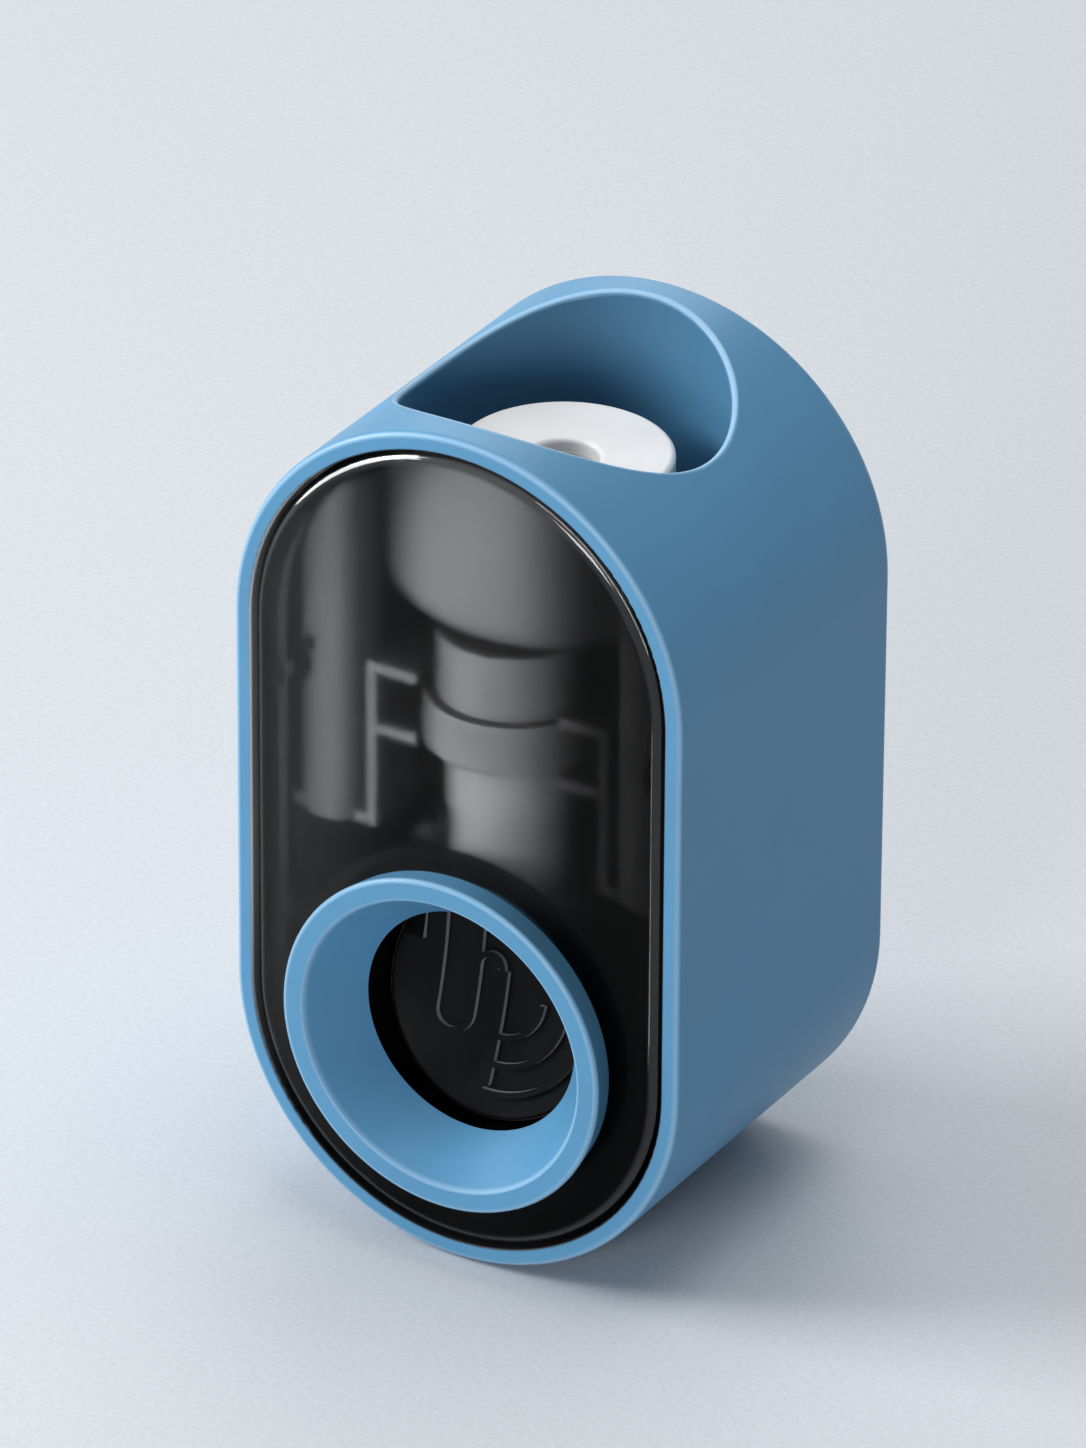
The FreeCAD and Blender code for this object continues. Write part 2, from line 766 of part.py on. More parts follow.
def make_collar_nut():
    """Union nut: screwed on the head above, and a guide for the nozzle's skirt below."""
    nut = upright(collar_radius, pump_axis_depth, collar_bottom_z, collar_top_z)
    for z in (collar_bottom_z, collar_top_z):
        nut = round_edges(nut, collar_edge_round, at_height(z))
    shoulder_z = collar_top_z - male_length - seat_gap
    nut = nut.cut(upright(male_radius + fit_gap, pump_axis_depth, shoulder_z, shell_top_z))
    return nut.cut(upright(skirt_radius + fit_gap, pump_axis_depth, 0, shell_top_z))


def make_nozzle():
    """Skirt round the bellows, and below it the body whose duct leads forward to the outlet."""
    pocket_top_z = nozzle_bottom_z + outlet_pocket
    body = joined([
        upright(skirt_radius, pump_axis_depth, step_z, skirt_top_z),
        upright(nozzle_radius, pump_axis_depth, nozzle_bottom_z, step_z),
    ])
    body = body.cut(upright(skirt_radius - skirt_wall, pump_axis_depth, chamber_floor_z, shell_top_z))
    body = joined([body, upright(spigot_radius, pump_axis_depth, step_z, low_spigot_z)])
    bend_z = nozzle_bottom_z + duct_bend_height
    duct_start = spot(0, pump_axis_depth, bend_z)
    duct_end = spot(0, outlet_depth, pocket_top_z)
    duct_line = duct_end - duct_start
    tools = [
        upright(passage_radius, pump_axis_depth, bend_z, shell_top_z),
        Part.makeSphere(passage_radius, duct_start),
        Part.makeCylinder(outlet_duct_radius, duct_line.Length, duct_start, duct_line),
        upright(outlet_radius, outlet_depth, nozzle_bottom_z - overrun, pocket_top_z),
    ]
    for tool in tools:
        body = body.cut(tool)
    return body


def valve(depth, top_z, flange_radius, flange_height, body_radius, body_length, tip_length):
    """Soft one-way valve: flange, short tube and a closed tip with a slit."""
    body_z = top_z - flange_height - body_length
    tip_z_low = body_z - tip_length
    inner = body_radius - valve_wall
    solid = turned([
        (inner, top_z),
        (flange_radius, top_z),
        (flange_radius, top_z - flange_height),
        (body_radius, top_z - flange_height),
        (body_radius, body_z),
        (valve_wall, tip_z_low),
        (0, tip_z_low),
        (0, tip_z_low + valve_wall),
        (inner, body_z),
    ], depth)
    half_slit = valve_slit / 2
    half_length = valve_wall / 2
    slit = block(-half_length, half_length, depth - half_slit, depth + half_slit, tip_z_low - overrun, body_z)
    return solid.cut(slit)


def make_inlet_valve():
    """Valve under the socket, at the head's inlet."""
    return valve(tube_axis_depth, head_top_z, inlet_flange_radius, inlet_flange_height - fit_gap,
                 inlet_body_radius, inlet_body_length, inlet_tip_length)


def make_outlet_valve():
    """Valve in the nozzle's outlet pocket."""
    top_z = nozzle_bottom_z + outlet_pocket - fit_gap
    return valve(outlet_depth, top_z, outlet_radius - fit_gap, outlet_flange_height,
                 outlet_body_radius, outlet_body_length, outlet_tip_length)


def make_nozzle_cap():
    """Cap pressed in the outlet pocket under the valve's flange."""
    plate_top_z = nozzle_bottom_z - fit_gap
    sleeve_top_z = nozzle_bottom_z + outlet_pocket - outlet_flange_height - 2 * fit_gap
    cap = joined([
        upright(cap_radius, outlet_depth, plate_top_z - cap_plate, plate_top_z),
        upright(outlet_radius - fit_gap, outlet_depth, plate_top_z - cap_plate, sleeve_top_z),
    ])
    return cap.cut(upright(outlet_body_radius + seat_gap, outlet_depth, 0, shell_top_z))


def make_bellows():
    """Soft bellows between the head's spigot and the nozzle's spigot."""
    inner_collar = spigot_radius + fit_gap
    outer_collar = inner_collar + bellows_collar_wall
    fold_height = (high_spigot_z - low_spigot_z) / bellows_folds
    outside = [(outer_collar, chamber_floor_z + fit_gap)]
    inside = [(inner_collar, chamber_floor_z + fit_gap)]
    for number in range(bellows_folds):
        valley_z = low_spigot_z + number * fold_height
        peak_z = valley_z + fold_height / 2
        outside += [(outer_collar, valley_z), (bellows_peak_radius, peak_z)]
        inside += [(inner_collar, valley_z), (bellows_peak_radius - bellows_wall, peak_z)]
    outside += [(outer_collar, high_spigot_z), (outer_collar, neck_bottom_z - fit_gap)]
    inside += [(inner_collar, high_spigot_z), (inner_collar, neck_bottom_z - fit_gap)]
    return turned(outside + inside[::-1], pump_axis_depth)


def tangent_arc(start, direction, end):
    """Arc from start, leaving along direction, to end."""
    chord = end - start
    along = FreeCAD.Vector(chord).normalize()
    cosine = direction.dot(along)
    sideways = (direction - along * cosine).normalize()
    rise = chord.Length / 2 * math.tan(math.acos(cosine) / 2)
    return Part.Arc(start, (start + end) / 2 + sideways * rise, end)


def biarc(start, start_direction, end, end_direction):
    """Two arcs that join two points along their directions."""
    chord = end - start
    total = start_direction + end_direction
    spread = 2 * (1 - start_direction.dot(end_direction))
    reach = chord.dot(total)
    length = (math.sqrt(reach * reach + spread * chord.dot(chord)) - reach) / spread
    joint = (start + start_direction * length + end - end_direction * length) / 2
    first = tangent_arc(start, start_direction, joint)
    last = tangent_arc(end, -end_direction, joint)
    return [first.toShape(), last.toShape()]


def make_return_spring():
    """Coil spring inside the bellows, in quarter turns."""
    low = low_spigot_z + fit_gap + spring_wire_radius
    high = high_spigot_z - fit_gap - spring_wire_radius
    steps = spring_turns * quarters_per_turn
    climb = (high - low) / (spring_turns * 2 * math.pi)
    places = []
    for number in range(steps + 1):
        angle = 2 * math.pi * number / quarters_per_turn
        across = spring_mean_radius * math.cos(angle)
        inward = spring_mean_radius * math.sin(angle)
        point = spot(across, pump_axis_depth + inward, low + climb * angle)
        heading = FreeCAD.Vector(-inward, across, climb).normalize()
        places.append((point, heading))
    edges = []
    for (start, leaving), (end, arriving) in zip(places, places[1:]):
        edges += biarc(start, leaving, end, arriving)
    path = Part.Wire(edges)
    section = Part.Wire(Part.Circle(places[0][0], places[0][1], spring_wire_radius).toShape())
    return path.makePipeShell([section], True, False)


def make_lift_yoke():
    """Ring clamped on the nozzle, with a wing over each of the flap's arms."""
    top_z = yoke_bottom_z + yoke_height
    half_wing = yoke_wing_length / 2
    pieces = [upright(yoke_radius, pump_axis_depth, yoke_bottom_z, top_z)]
    for side in sides:
        pieces.append(side_block(side, 0, yoke_wing_reach, tip_depth - half_wing, tip_depth + half_wing,
                                 yoke_bottom_z, top_z))
    return joined(pieces).cut(upright(nozzle_radius + fit_gap, pump_axis_depth, 0, shell_top_z))


def make_pump_bracket():
    """Bracket screwed to the upper posts: back plate, slotted arms, lip and rounded cheeks."""
    back_front = post_front_depth - bracket_back
    lower_prong_z = collar_bottom_z - seat_gap
    upper_prong_z = collar_top_z + prong_gap
    arm_top_z = upper_prong_z + prong_thickness
    arm_outer = bracket_arm_inner + bracket_arm_wall
    pieces = [block(-bracket_half_width, bracket_half_width, back_front, post_front_depth,
                    lip_z, arm_top_z + bracket_top_rise)]
    for side in sides:
        pieces.append(side_block(side, bracket_arm_inner, arm_outer, bracket_front_depth, post_front_depth,
                                 lip_z, arm_top_z))
        pieces.append(side_block(side, bracket_arm_inner, bracket_half_width, bracket_front_depth,
                                 post_front_depth, lip_z, lip_z + bracket_lip))
        for prong_z in (lower_prong_z - prong_thickness, upper_prong_z):
            pieces.append(side_block(side, prong_inner, arm_outer, bracket_front_depth, prong_rear_depth,
                                     prong_z, prong_z + prong_thickness))
        pieces.append(side_block(side, prong_inner, arm_outer, slot_stop_depth,
                                 slot_stop_depth + slot_stop_thickness, lower_prong_z, upper_prong_z))
        pieces.append(cheek(side))
    bracket = joined(pieces)
    for hole in post_holes(upper_post_z):
        bracket = bracket.cut(hole)
    return bracket.common(stadium(inner_radius - bracket_side_gap, 0, case_depth))


def cheek(side):
    """Rounded upright wall beside a bracket arm."""
    foot = FreeCAD.Vector(side * cheek_middle, deep(cheek_axis_depth), lip_z)
    up = FreeCAD.Vector(0, 0, 1)
    wall = Part.makeCylinder(cheek_radius, cheek_height, foot, up)
    wall = wall.cut(Part.makeCylinder(cheek_radius - cheek_wall, cheek_height, foot, up))
    front_half = block(-case_radius, case_radius, 0, cheek_axis_depth, 0, shell_top_z)
    return wall.common(front_half)


def make_rear_cover():
    """Cover in the casing's back with a sunk pocket and two keyholes for the wall plate's studs."""
    pocket_low_z = plate_bottom_z - hang_travel - pocket_gap
    pocket_high_z = plate_bottom_z + plate_height + pocket_gap
    pocket_half = plate_half_width + pocket_gap
    floor_front = pocket_back_depth - pocket_floor
    cover = joined([
        stadium(inner_radius - cover_gap, cover_front_depth, case_depth),
        slab(pocket_half + pocket_rim, pocket_low_z - pocket_rim, pocket_high_z + pocket_rim,
             floor_front, case_depth, plate_corner + pocket_rim),
    ])
    tools = [slab(pocket_half, pocket_low_z, pocket_high_z, pocket_back_depth, case_depth + overrun,
                  plate_corner)]
    for side in sides:
        tools.append(keyhole(side * stud_half_spacing, floor_front))
    for z in (lower_post_z, upper_post_z):
        tools += post_holes(z)
        recess_radius = screw_head_radius + head_recess_gap
        recess_depth = case_depth - screw_head_height - seat_gap
        tools += [bar(recess_radius, side * post_x, z, recess_depth, case_depth + overrun) for side in sides]
    for tool in tools:
        cover = cover.cut(tool)
    return cover


def keyhole(x, floor_front):
    """Round entry with a narrow slot above it, in which a stud hangs."""
    ends = (floor_front - overrun, case_depth)
    neck = stud_radius + stud_gap
    entry_z = stud_z - hang_travel
    return joined([
        bar(stud_head_radius + stud_gap, x, entry_z, *ends),
        block(x - neck, x + neck, *ends, entry_z, stud_z),
        bar(neck, x, stud_z, *ends),
    ])


def make_wall_plate():
    """Plate that stays on the wall, with two headed studs."""
    plate = slab(plate_half_width, plate_bottom_z, plate_bottom_z + plate_height,
                 plate_front_depth, plate_back_depth, plate_corner)
    head_back = pocket_back_depth - pocket_floor - seat_gap
    pieces = [plate]
    for side in sides:
        x = side * stud_half_spacing
        pieces.append(bar(stud_radius, x, stud_z, head_back - stud_head_thickness, plate_back_depth))
        pieces.append(bar(stud_head_radius, x, stud_z, head_back - stud_head_thickness, head_back))
    return joined(pieces)


def make_adhesive_pad():
    """Foam pad on the plate's back."""
    return slab(plate_half_width - pad_margin, plate_bottom_z + pad_margin,
                plate_bottom_z + plate_height - pad_margin, plate_back_depth, pad_back_depth, plate_corner)


def screw_pair(z, head_depth, way):
    """The two screws at one height."""
    return [screw(side * post_x, z, head_depth, way) for side in sides]


def make_channel_screws():
    """Screws of the brush channel."""
    return Part.makeCompound(screw_pair(lower_post_z, post_front_depth - tab_thickness, 1))


def make_bracket_screws():
    """Screws of the pump bracket."""
    return Part.makeCompound(screw_pair(upper_post_z, post_front_depth - bracket_back, 1))


def make_cover_screws():
    """Screws of the rear cover."""
    seat_depth = case_depth - screw_head_height - seat_gap
    lower_pair = screw_pair(lower_post_z, seat_depth, -1)
    return Part.makeCompound(lower_pair + screw_pair(upper_post_z, seat_depth, -1))


makers = {
    "main_shell": make_main_shell,
    "foot_strips": make_foot_strips,
    "front_panel": make_front_panel,
    "panel_frame": make_panel_frame,
    "brush_ring": make_brush_ring,
    "ring_retainer": make_ring_retainer,
    "brush_channel": make_brush_channel,
    "channel_screws": make_channel_screws,
    "pivot_pins": make_pivot_pins,
    "press_flap": make_press_flap,
    "tube_socket": make_tube_socket,
    "socket_seal": make_socket_seal,
    "pump_head": make_pump_head,
    "collar_nut": make_collar_nut,
    "inlet_valve": make_inlet_valve,
    "bellows": make_bellows,
    "return_spring": make_return_spring,
    "nozzle": make_nozzle,
    "outlet_valve": make_outlet_valve,
    "nozzle_cap": make_nozzle_cap,
    "lift_yoke": make_lift_yoke,
    "pump_bracket": make_pump_bracket,
    "bracket_screws": make_bracket_screws,
    "rear_cover": make_rear_cover,
    "cover_screws": make_cover_screws,
    "wall_plate": make_wall_plate,
    "adhesive_pad": make_adhesive_pad,
}

os.makedirs("parts", exist_ok=True)
for node, maker in makers.items():
    shape = maker()
    shape.exportStep("parts/" + node + ".step")
    print(node, "valid", shape.isValid(), "solids", len(shape.Solids), "mm3", round(shape.Volume, 2))
print("flap pivot at", deep(pivot_depth), pivot_z)
print("lift of the nozzle over the swing", 2 * lift_arm * math.sin(half_swing))
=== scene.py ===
"""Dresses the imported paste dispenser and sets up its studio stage."""

import math

import bmesh
import bpy
from bpy.props import FloatProperty, FloatVectorProperty, IntProperty, PointerProperty
from mathutils import Matrix, Vector


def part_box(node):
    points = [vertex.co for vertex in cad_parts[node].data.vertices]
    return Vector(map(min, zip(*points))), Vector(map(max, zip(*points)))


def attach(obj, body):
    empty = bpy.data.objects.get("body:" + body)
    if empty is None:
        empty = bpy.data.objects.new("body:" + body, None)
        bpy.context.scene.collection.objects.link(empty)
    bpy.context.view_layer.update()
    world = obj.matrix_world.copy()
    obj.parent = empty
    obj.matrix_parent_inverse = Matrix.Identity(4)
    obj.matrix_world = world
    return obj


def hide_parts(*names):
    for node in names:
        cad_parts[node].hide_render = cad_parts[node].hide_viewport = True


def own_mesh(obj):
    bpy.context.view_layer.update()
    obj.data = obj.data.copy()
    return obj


bl_info = {
    "name": "Paste Dispenser",
    "version": (1, 0, 0),
    "blender": (4, 5, 0),
    "location": "View3D > Sidebar > Dispenser",
    "description": "Dresses the packed paste dispenser and sets up its studio stage",
    "category": "Object",
}

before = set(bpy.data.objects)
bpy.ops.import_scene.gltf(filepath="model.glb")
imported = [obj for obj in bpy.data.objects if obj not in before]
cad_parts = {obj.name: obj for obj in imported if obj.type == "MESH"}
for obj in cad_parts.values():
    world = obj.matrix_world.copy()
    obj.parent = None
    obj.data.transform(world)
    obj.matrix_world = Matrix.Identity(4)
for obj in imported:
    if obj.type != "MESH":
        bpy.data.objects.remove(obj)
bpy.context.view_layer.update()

# Boxes of the pieces in the frame, in metres
shell_low, shell_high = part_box("main_shell")
panel_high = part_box("front_panel")[1]
ring_low, ring_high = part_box("brush_ring")
cover_low, cover_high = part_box("rear_cover")
socket_low, socket_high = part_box("tube_socket")
bellows_low, bellows_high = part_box("bellows")
spring_low, spring_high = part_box("return_spring")
bracket_low, bracket_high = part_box("pump_bracket")

# Sizes that the boxes don't give, in metres
panel_gap = 0.00025
seat_gap = 0.00005
spring_wire_radius = 0.0004
throat_inset = 0.0094
throat_depth = 0.0045
cone_fall = 0.0059
cone_length = 0.009
ring_face_radius = 0.0267
ring_mouth_radius = 0.0237
well_radius = 0.0241
well_wall = 0.0018
well_corner = 0.0052
well_floor_z = 0.102

# Places worked out from both
case_radius = shell_high.x
front_y = shell_low.y
high_centre_z = shell_high.z - case_radius
low_centre_z = (ring_low.z + ring_high.z) / 2
middle_z = (low_centre_z + high_centre_z) / 2
inside_radius = panel_high.x + panel_gap
tube_y = (socket_low.y + socket_high.y) / 2
pump_y = (bellows_low.y + bellows_high.y) / 2
spigot_end_low_z = spring_low.z - seat_gap
spigot_end_high_z = spring_high.z + seat_gap
cone_slope = cone_fall / cone_length
cone_start = ring_high.x - throat_inset + cone_slope * (front_y + throat_depth)


def colour_setting(name, description, default):
    """Colour property in linear light."""
    return FloatVectorProperty(
        name=name, description=description, default=default, subtype="COLOR", size=3, min=0.0, max=1.0
    )


def length_setting(name, description, default):
    """Length property in metres."""
    return FloatProperty(name=name, description=description, default=default, unit="LENGTH", precision=5)


def share_setting(name, description, default):
    """Property between nothing and all."""
    return FloatProperty(
        name=name, description=description, default=default, subtype="FACTOR", min=0.0, max=1.0
    )


def angle_setting(name, description, degrees):
    """Angle property, its default given in degrees."""
    return FloatProperty(name=name, description=description, default=math.radians(degrees), subtype="ANGLE")


def level_setting(name, description, default):
    """Light level: 1 makes a white surface that faces the lamp render white."""
    return FloatProperty(name=name, description=description, default=default, min=0.0)


class CaseSettings(bpy.types.PropertyGroup):
    """Finish of the casing, the rear cover and the ring."""

    colour: colour_setting("Colour", "Moulded colour of the casing", (0.1, 0.296, 0.5))
    # Painted highlight: a lighter blue along the rounded edges, where light catches them
    edge_highlight_colour: colour_setting("Edge Colour", "Lighter tone along the rounded edges", (0.36, 0.57, 0.77))
    # Painted shade: the well's wall is darker than the casing, as shade falls in it
    well_shade: share_setting("Well Tone", "Tone of the well's wall, a share of the casing's colour", 0.66)
    # Painted shade: near black inside the casing, the rear cover and the ring's throat, where shade falls
    inside_shade_colour: colour_setting("Inside Colour", "Dark lining inside the casing", (0.006, 0.006, 0.007))
    # Grey of the bell, also painted on the inner wall left of the cheek as a patch of light
    bell_colour: colour_setting("Bell Colour", "Outer wall of the well, behind the panel", (0.6, 0.6, 0.6))
    # Painted shade: how dark the sides of what is behind the panel are painted
    side_shade: share_setting("Side Tone", "Tone left at the sides of what is behind the panel", 0.12)
    grain: length_setting("Grain", "Width of one grain of the moulded surface", 0.00035)
    edge_width: length_setting("Edge Width", "Width of the lighter tone along an edge", 0.0007)
    rubber_colour: colour_setting("Foot Colour", "Rubber of the foot strips", (0.03, 0.032, 0.035))
    rib_pitch: length_setting("Rib Pitch", "Spacing of the foot strips' ribs", 0.0016)


class FrontSettings(bpy.types.PropertyGroup):
    """Finish of the smoked panel and what is inside the ring."""

    smoke: colour_setting("Smoke", "Light that the panel lets through", (0.35, 0.35, 0.354))
    shade: share_setting("Shade", "Share of that light left at the panel's darker right side", 0.1)
    frost: share_setting("Frost", "Roughness that blurs what is behind the panel", 0.36)
    polish: share_setting("Polish", "Gloss of the panel's flat face at its left side", 0.4)
    border: length_setting("Polished Border", "Width of the panel's rounded, polished border", 0.0022)
    black_gloss: colour_setting("Black Gloss", "Flap and brush channel", (0.005, 0.005, 0.0055))
    # Painted highlight: the flap's rib sides are light grey where light would catch them
    rib_highlight: colour_setting("Rib Line", "Worn sides of the flap's ribs", (0.45, 0.45, 0.455))
    # Painted light: the black frame is grey beside the cheek
    frame_lit_grey: colour_setting("Frame Grey", "Panel frame beside the bracket's left cheek", (0.2, 0.2, 0.2))
    black_matte: colour_setting("Black Matte", "Panel frame, retainer and wall plate", (0.012, 0.012, 0.013))


class PumpSettings(bpy.types.PropertyGroup):
    """Finish and repeated shapes of the pump."""

    grey: colour_setting("Grey", "Moulded pump pieces", (0.62, 0.62, 0.62))
    bracket_grey: colour_setting("Bracket Grey", "Bracket at its front", (0.62, 0.62, 0.62))
    # Painted light: lighter than the pump grey, making up for the light that the ring keeps off
    nozzle_lit_grey: colour_setting("Nozzle Grey", "Nozzle, its cap and the yoke", (0.92, 0.92, 0.92))
    silicone: colour_setting("Silicone", "Seal, valves and bellows", (0.78, 0.78, 0.76))
    steel: colour_setting("Steel", "Pins, spring and screws", (0.56, 0.56, 0.57))
    peak_radius: length_setting("Bellows Peak", "Radius at a fold's peak", bellows_high.x)
    valley_radius: length_setting("Bellows Valley", "Radius at a fold's valley", 0.00655)
    wall: length_setting("Bellows Wall", "Thickness of the bellows", 0.0008)
    folds: IntProperty(name="Bellows Folds", description="Number of folds", default=3, min=1)
    coils: FloatProperty(name="Spring Turns", description="Turns of the coil spring", default=4.0, min=1.0)
    screw_head: length_setting("Screw Head", "Radius of a screw's head", 0.0024)
    screw_height: length_setting("Screw Height", "Height of a screw's head", 0.0015)
    screw_shank: length_setting("Screw Shank", "Radius of a screw's shank", 0.00125)
    screw_length: length_setting("Screw Length", "Length of a screw under its head", 0.006)
    recess_width: length_setting("Recess Width", "Width of the cross recess", 0.0007)


class SocketSettings(bpy.types.PropertyGroup):
    """Finish of the tube socket and the hanger."""

    white: colour_setting("White", "Tube socket", (0.83, 0.83, 0.83))
    foam: colour_setting("Foam", "Adhesive pad", (0.28, 0.28, 0.29))
    cell: length_setting("Foam Cell", "Width of one foam cell", 0.0006)


class StageSettings(bpy.types.PropertyGroup):
    """Camera, floor and light."""

    azimuth: angle_setting("Azimuth", "Camera turned to the right of the front", 31.28)
    elevation: angle_setting("Elevation", "Camera above the horizon", 28.77)
    roll: angle_setting("Roll", "Camera turned about its view", 0.33)
    distance: length_setting("Distance", "Camera from the middle of the front", 1.79934)
    aside: length_setting("Aside", "Camera moved to its right", 0.01279)
    above: length_setting("Above", "Camera moved up in its view", 0.01919)
    lens: FloatProperty(name="Lens", description="Focal length in millimetres", default=307.74, min=1.0)
    floor_colour: colour_setting("Floor", "Pale floor", (0.665, 0.70, 0.74))
    backdrop: colour_setting("Backdrop", "Pale surround, far from the object", (0.66, 0.70, 0.745))
    sky: colour_setting("Sky", "Tint of the even light", (0.93, 0.965, 1.0))
    world_level: level_setting("World Level", "Even light from all round", 0.13)
    key_level: level_setting("Key Level", "Soft lamp on the left", 0.9)
    top_level: level_setting("Top Level", "Soft lamp above", 0.5)
    fill_level: level_setting("Fill Level", "Soft lamp in front, to the right", 0.31)
    back_level: level_setting("Back Level", "Soft lamp behind, which grazes the top", 0.2)
    glow_level: level_setting("Glow Level", "Broad card for the panel's upper left edge", 15.0)
    strip_level: level_setting("Strip Level", "Narrow card for the panel's upper right edge", 12.0)
    card_level: level_setting("Card Level", "Low card for the panel's right edge", 8.0)


class DispenserSettings(bpy.types.PropertyGroup):
    """All settings of the dispenser."""

    case: PointerProperty(type=CaseSettings)
    front: PointerProperty(type=FrontSettings)
    pump: PointerProperty(type=PumpSettings)
    socket: PointerProperty(type=SocketSettings)
    stage: PointerProperty(type=StageSettings)


class Wiring:
    """Short calls for building one node tree."""

    def __init__(self, tree):
        self.tree = tree

    def feed(self, socket, value):
        """Link a socket, or set a value, on an input."""
        if isinstance(value, bpy.types.NodeSocket):
            self.tree.links.new(value, socket)
        else:
            socket.default_value = value

    def node(self, kind, inputs=None, **settings):
        """Node with its settings and its inputs, by name or number."""
        node = self.tree.nodes.new(kind)
        for name, value in settings.items():
            setattr(node, name, value)
        for key, value in (inputs or {}).items():
            self.feed(node.inputs[key], value)
        return node

    def place(self):
        """Object coordinates."""
        return self.node("ShaderNodeTexCoord").outputs["Object"]

    def normal(self):
        """Direction of the surface, in the object's own axes."""
        return self.node("ShaderNodeTexCoord").outputs["Normal"]

    def maths(self, operation, *values):
        """Result of a Math node."""
        inputs = dict(enumerate(values))
        return self.node("ShaderNodeMath", inputs, operation=operation).outputs[0]

    def times(self, *values):
        """Product of two values."""
        return self.maths("MULTIPLY", *values)

    def apart(self, vector):
        """The three parts of a vector."""
        return self.node("ShaderNodeSeparateXYZ", {0: vector}).outputs

    def join(self, x, y, z):
        """Vector of three parts."""
        return self.node("ShaderNodeCombineXYZ", {0: x, 1: y, 2: z}).outputs[0]

    def length(self, vector):
        """Length of a vector."""
        return self.node("ShaderNodeVectorMath", {0: vector}, operation="LENGTH").outputs["Value"]

    def noise(self, scale, detail):
        """Noise on Object coordinates."""
        inputs = {"Vector": self.place(), "Scale": scale, "Detail": detail}
        return self.node("ShaderNodeTexNoise", inputs).outputs[0]

    def between(self, value, low, high, first=0.0, last=1.0):
        """Smooth step from first at low to last at high."""
        inputs = {"Value": value, "From Min": low, "From Max": high, "To Min": first, "To Max": last}
        return self.node("ShaderNodeMapRange", inputs, interpolation_type="SMOOTHSTEP").outputs["Result"]

    def blend(self, share, first, second):
        """Colour between two colours."""
        node = self.node("ShaderNodeMix", data_type="RGBA")
        for socket, value in ((node.inputs[0], share), (node.inputs[6], first), (node.inputs[7], second)):
            self.feed(socket, value)
        return node.outputs[2]

    def group(self, tree, **values):
        """Outputs of a shader group placed with its own values."""
        node = self.node("ShaderNodeGroup")
        node.node_tree = tree
        for name, value in values.items():
            self.feed(node.inputs[name.replace("_", " ")], value)
        return node.outputs

    def moved(self, geometry, place):
        """Geometry moved by a vector."""
        return self.node("GeometryNodeTransform", {"Geometry": geometry, "Translation": place}).outputs[0]


def opaque(colour, share=1.0):
    """Four-part colour, darkened or lightened by a share."""
    return (*(part * share for part in colour), 1.0)


def shader_group(name, inputs, outputs):
    """Empty shader group: its wiring, its inputs and its output node's inputs."""
    tree = bpy.data.node_groups.new(name, "ShaderNodeTree")
    for label in inputs:
        tree.interface.new_socket(label, in_out="INPUT", socket_type="NodeSocketFloat")
    for label in outputs:
        tree.interface.new_socket(label, in_out="OUTPUT", socket_type="NodeSocketFloat")
    wiring = Wiring(tree)
    return wiring, wiring.node("NodeGroupInput").outputs, wiring.node("NodeGroupOutput").inputs


# Noise: its lower and upper tone, and the scales of its broad drift, drawn lines and floor speckle
noise_low = 0.3
noise_high = 0.7
drift_scale = 45.0
drawn_scale = 2600.0
speckle_scale = 1100.0

# Smears: where a streak starts and is full, how streaks are turned, and how long they are drawn
smear_start = 0.42
smear_full = 0.75
smear_turn = (0.0, 0.6, 0.2)
smear_stretch = (1.0, 1.0, 0.25)

# Painted shade that darkens the sides of mouldings behind the panel:
# its forward and upward lean, where it starts and is full, and its lean to each side
shade_forward = -0.9
shade_upward = 0.1
shade_start = 0.1
shade_full = 0.9
lean_right = 0.42
lean_left = -0.5


def moulded_grain():
    """Fine grain of moulded plastic and a broad drift of its tone."""
    tree = bpy.data.node_groups.get("moulded_grain")
    if tree:
        return tree
    wiring, given, result = shader_group("moulded_grain", ["Grain"], ["Height", "Drift"])
    fineness = wiring.maths("DIVIDE", 1.0, given["Grain"])
    wiring.feed(result["Height"], wiring.noise(fineness, detail=2.0))
    wiring.feed(result["Drift"], wiring.between(wiring.noise(drift_scale, detail=2.0), noise_low, noise_high))
    return wiring.tree


def soft_smears():
    """Faint streaks where a glossy surface was wiped."""
    tree = bpy.data.node_groups.get("soft_smears")
    if tree:
        return tree
    wiring, given, result = shader_group("soft_smears", ["Streak"], ["Smear"])
    turned = wiring.node("ShaderNodeMapping", {
        "Vector": wiring.place(), "Rotation": smear_turn, "Scale": smear_stretch})
    fineness = wiring.maths("DIVIDE", 1.0, given["Streak"])
    streaks = wiring.node("ShaderNodeTexNoise", {
        "Vector": turned.outputs[0], "Scale": fineness, "Detail": 3.0, "Distortion": 0.6})
    wiring.feed(result["Smear"], wiring.between(streaks.outputs[0], smear_start, smear_full))
    return wiring.tree


def front_shade():
    """Painted shade that fades from the front of a moulding, leaning to one side, to its darker sides."""
    tree = bpy.data.node_groups.get("front_shade")
    if tree:
        return tree
    wiring, given, result = shader_group("front_shade", ["Side", "Lean"], ["Tone"])
    front = wiring.join(given["Lean"], shade_forward, shade_upward)
    facing = wiring.node("ShaderNodeVectorMath", {0: wiring.normal(), 1: front}, operation="DOT_PRODUCT")
    tone = wiring.between(facing.outputs["Value"], shade_start, shade_full, given["Side"], 1.0)
    wiring.feed(result["Tone"], tone)
    return wiring.tree


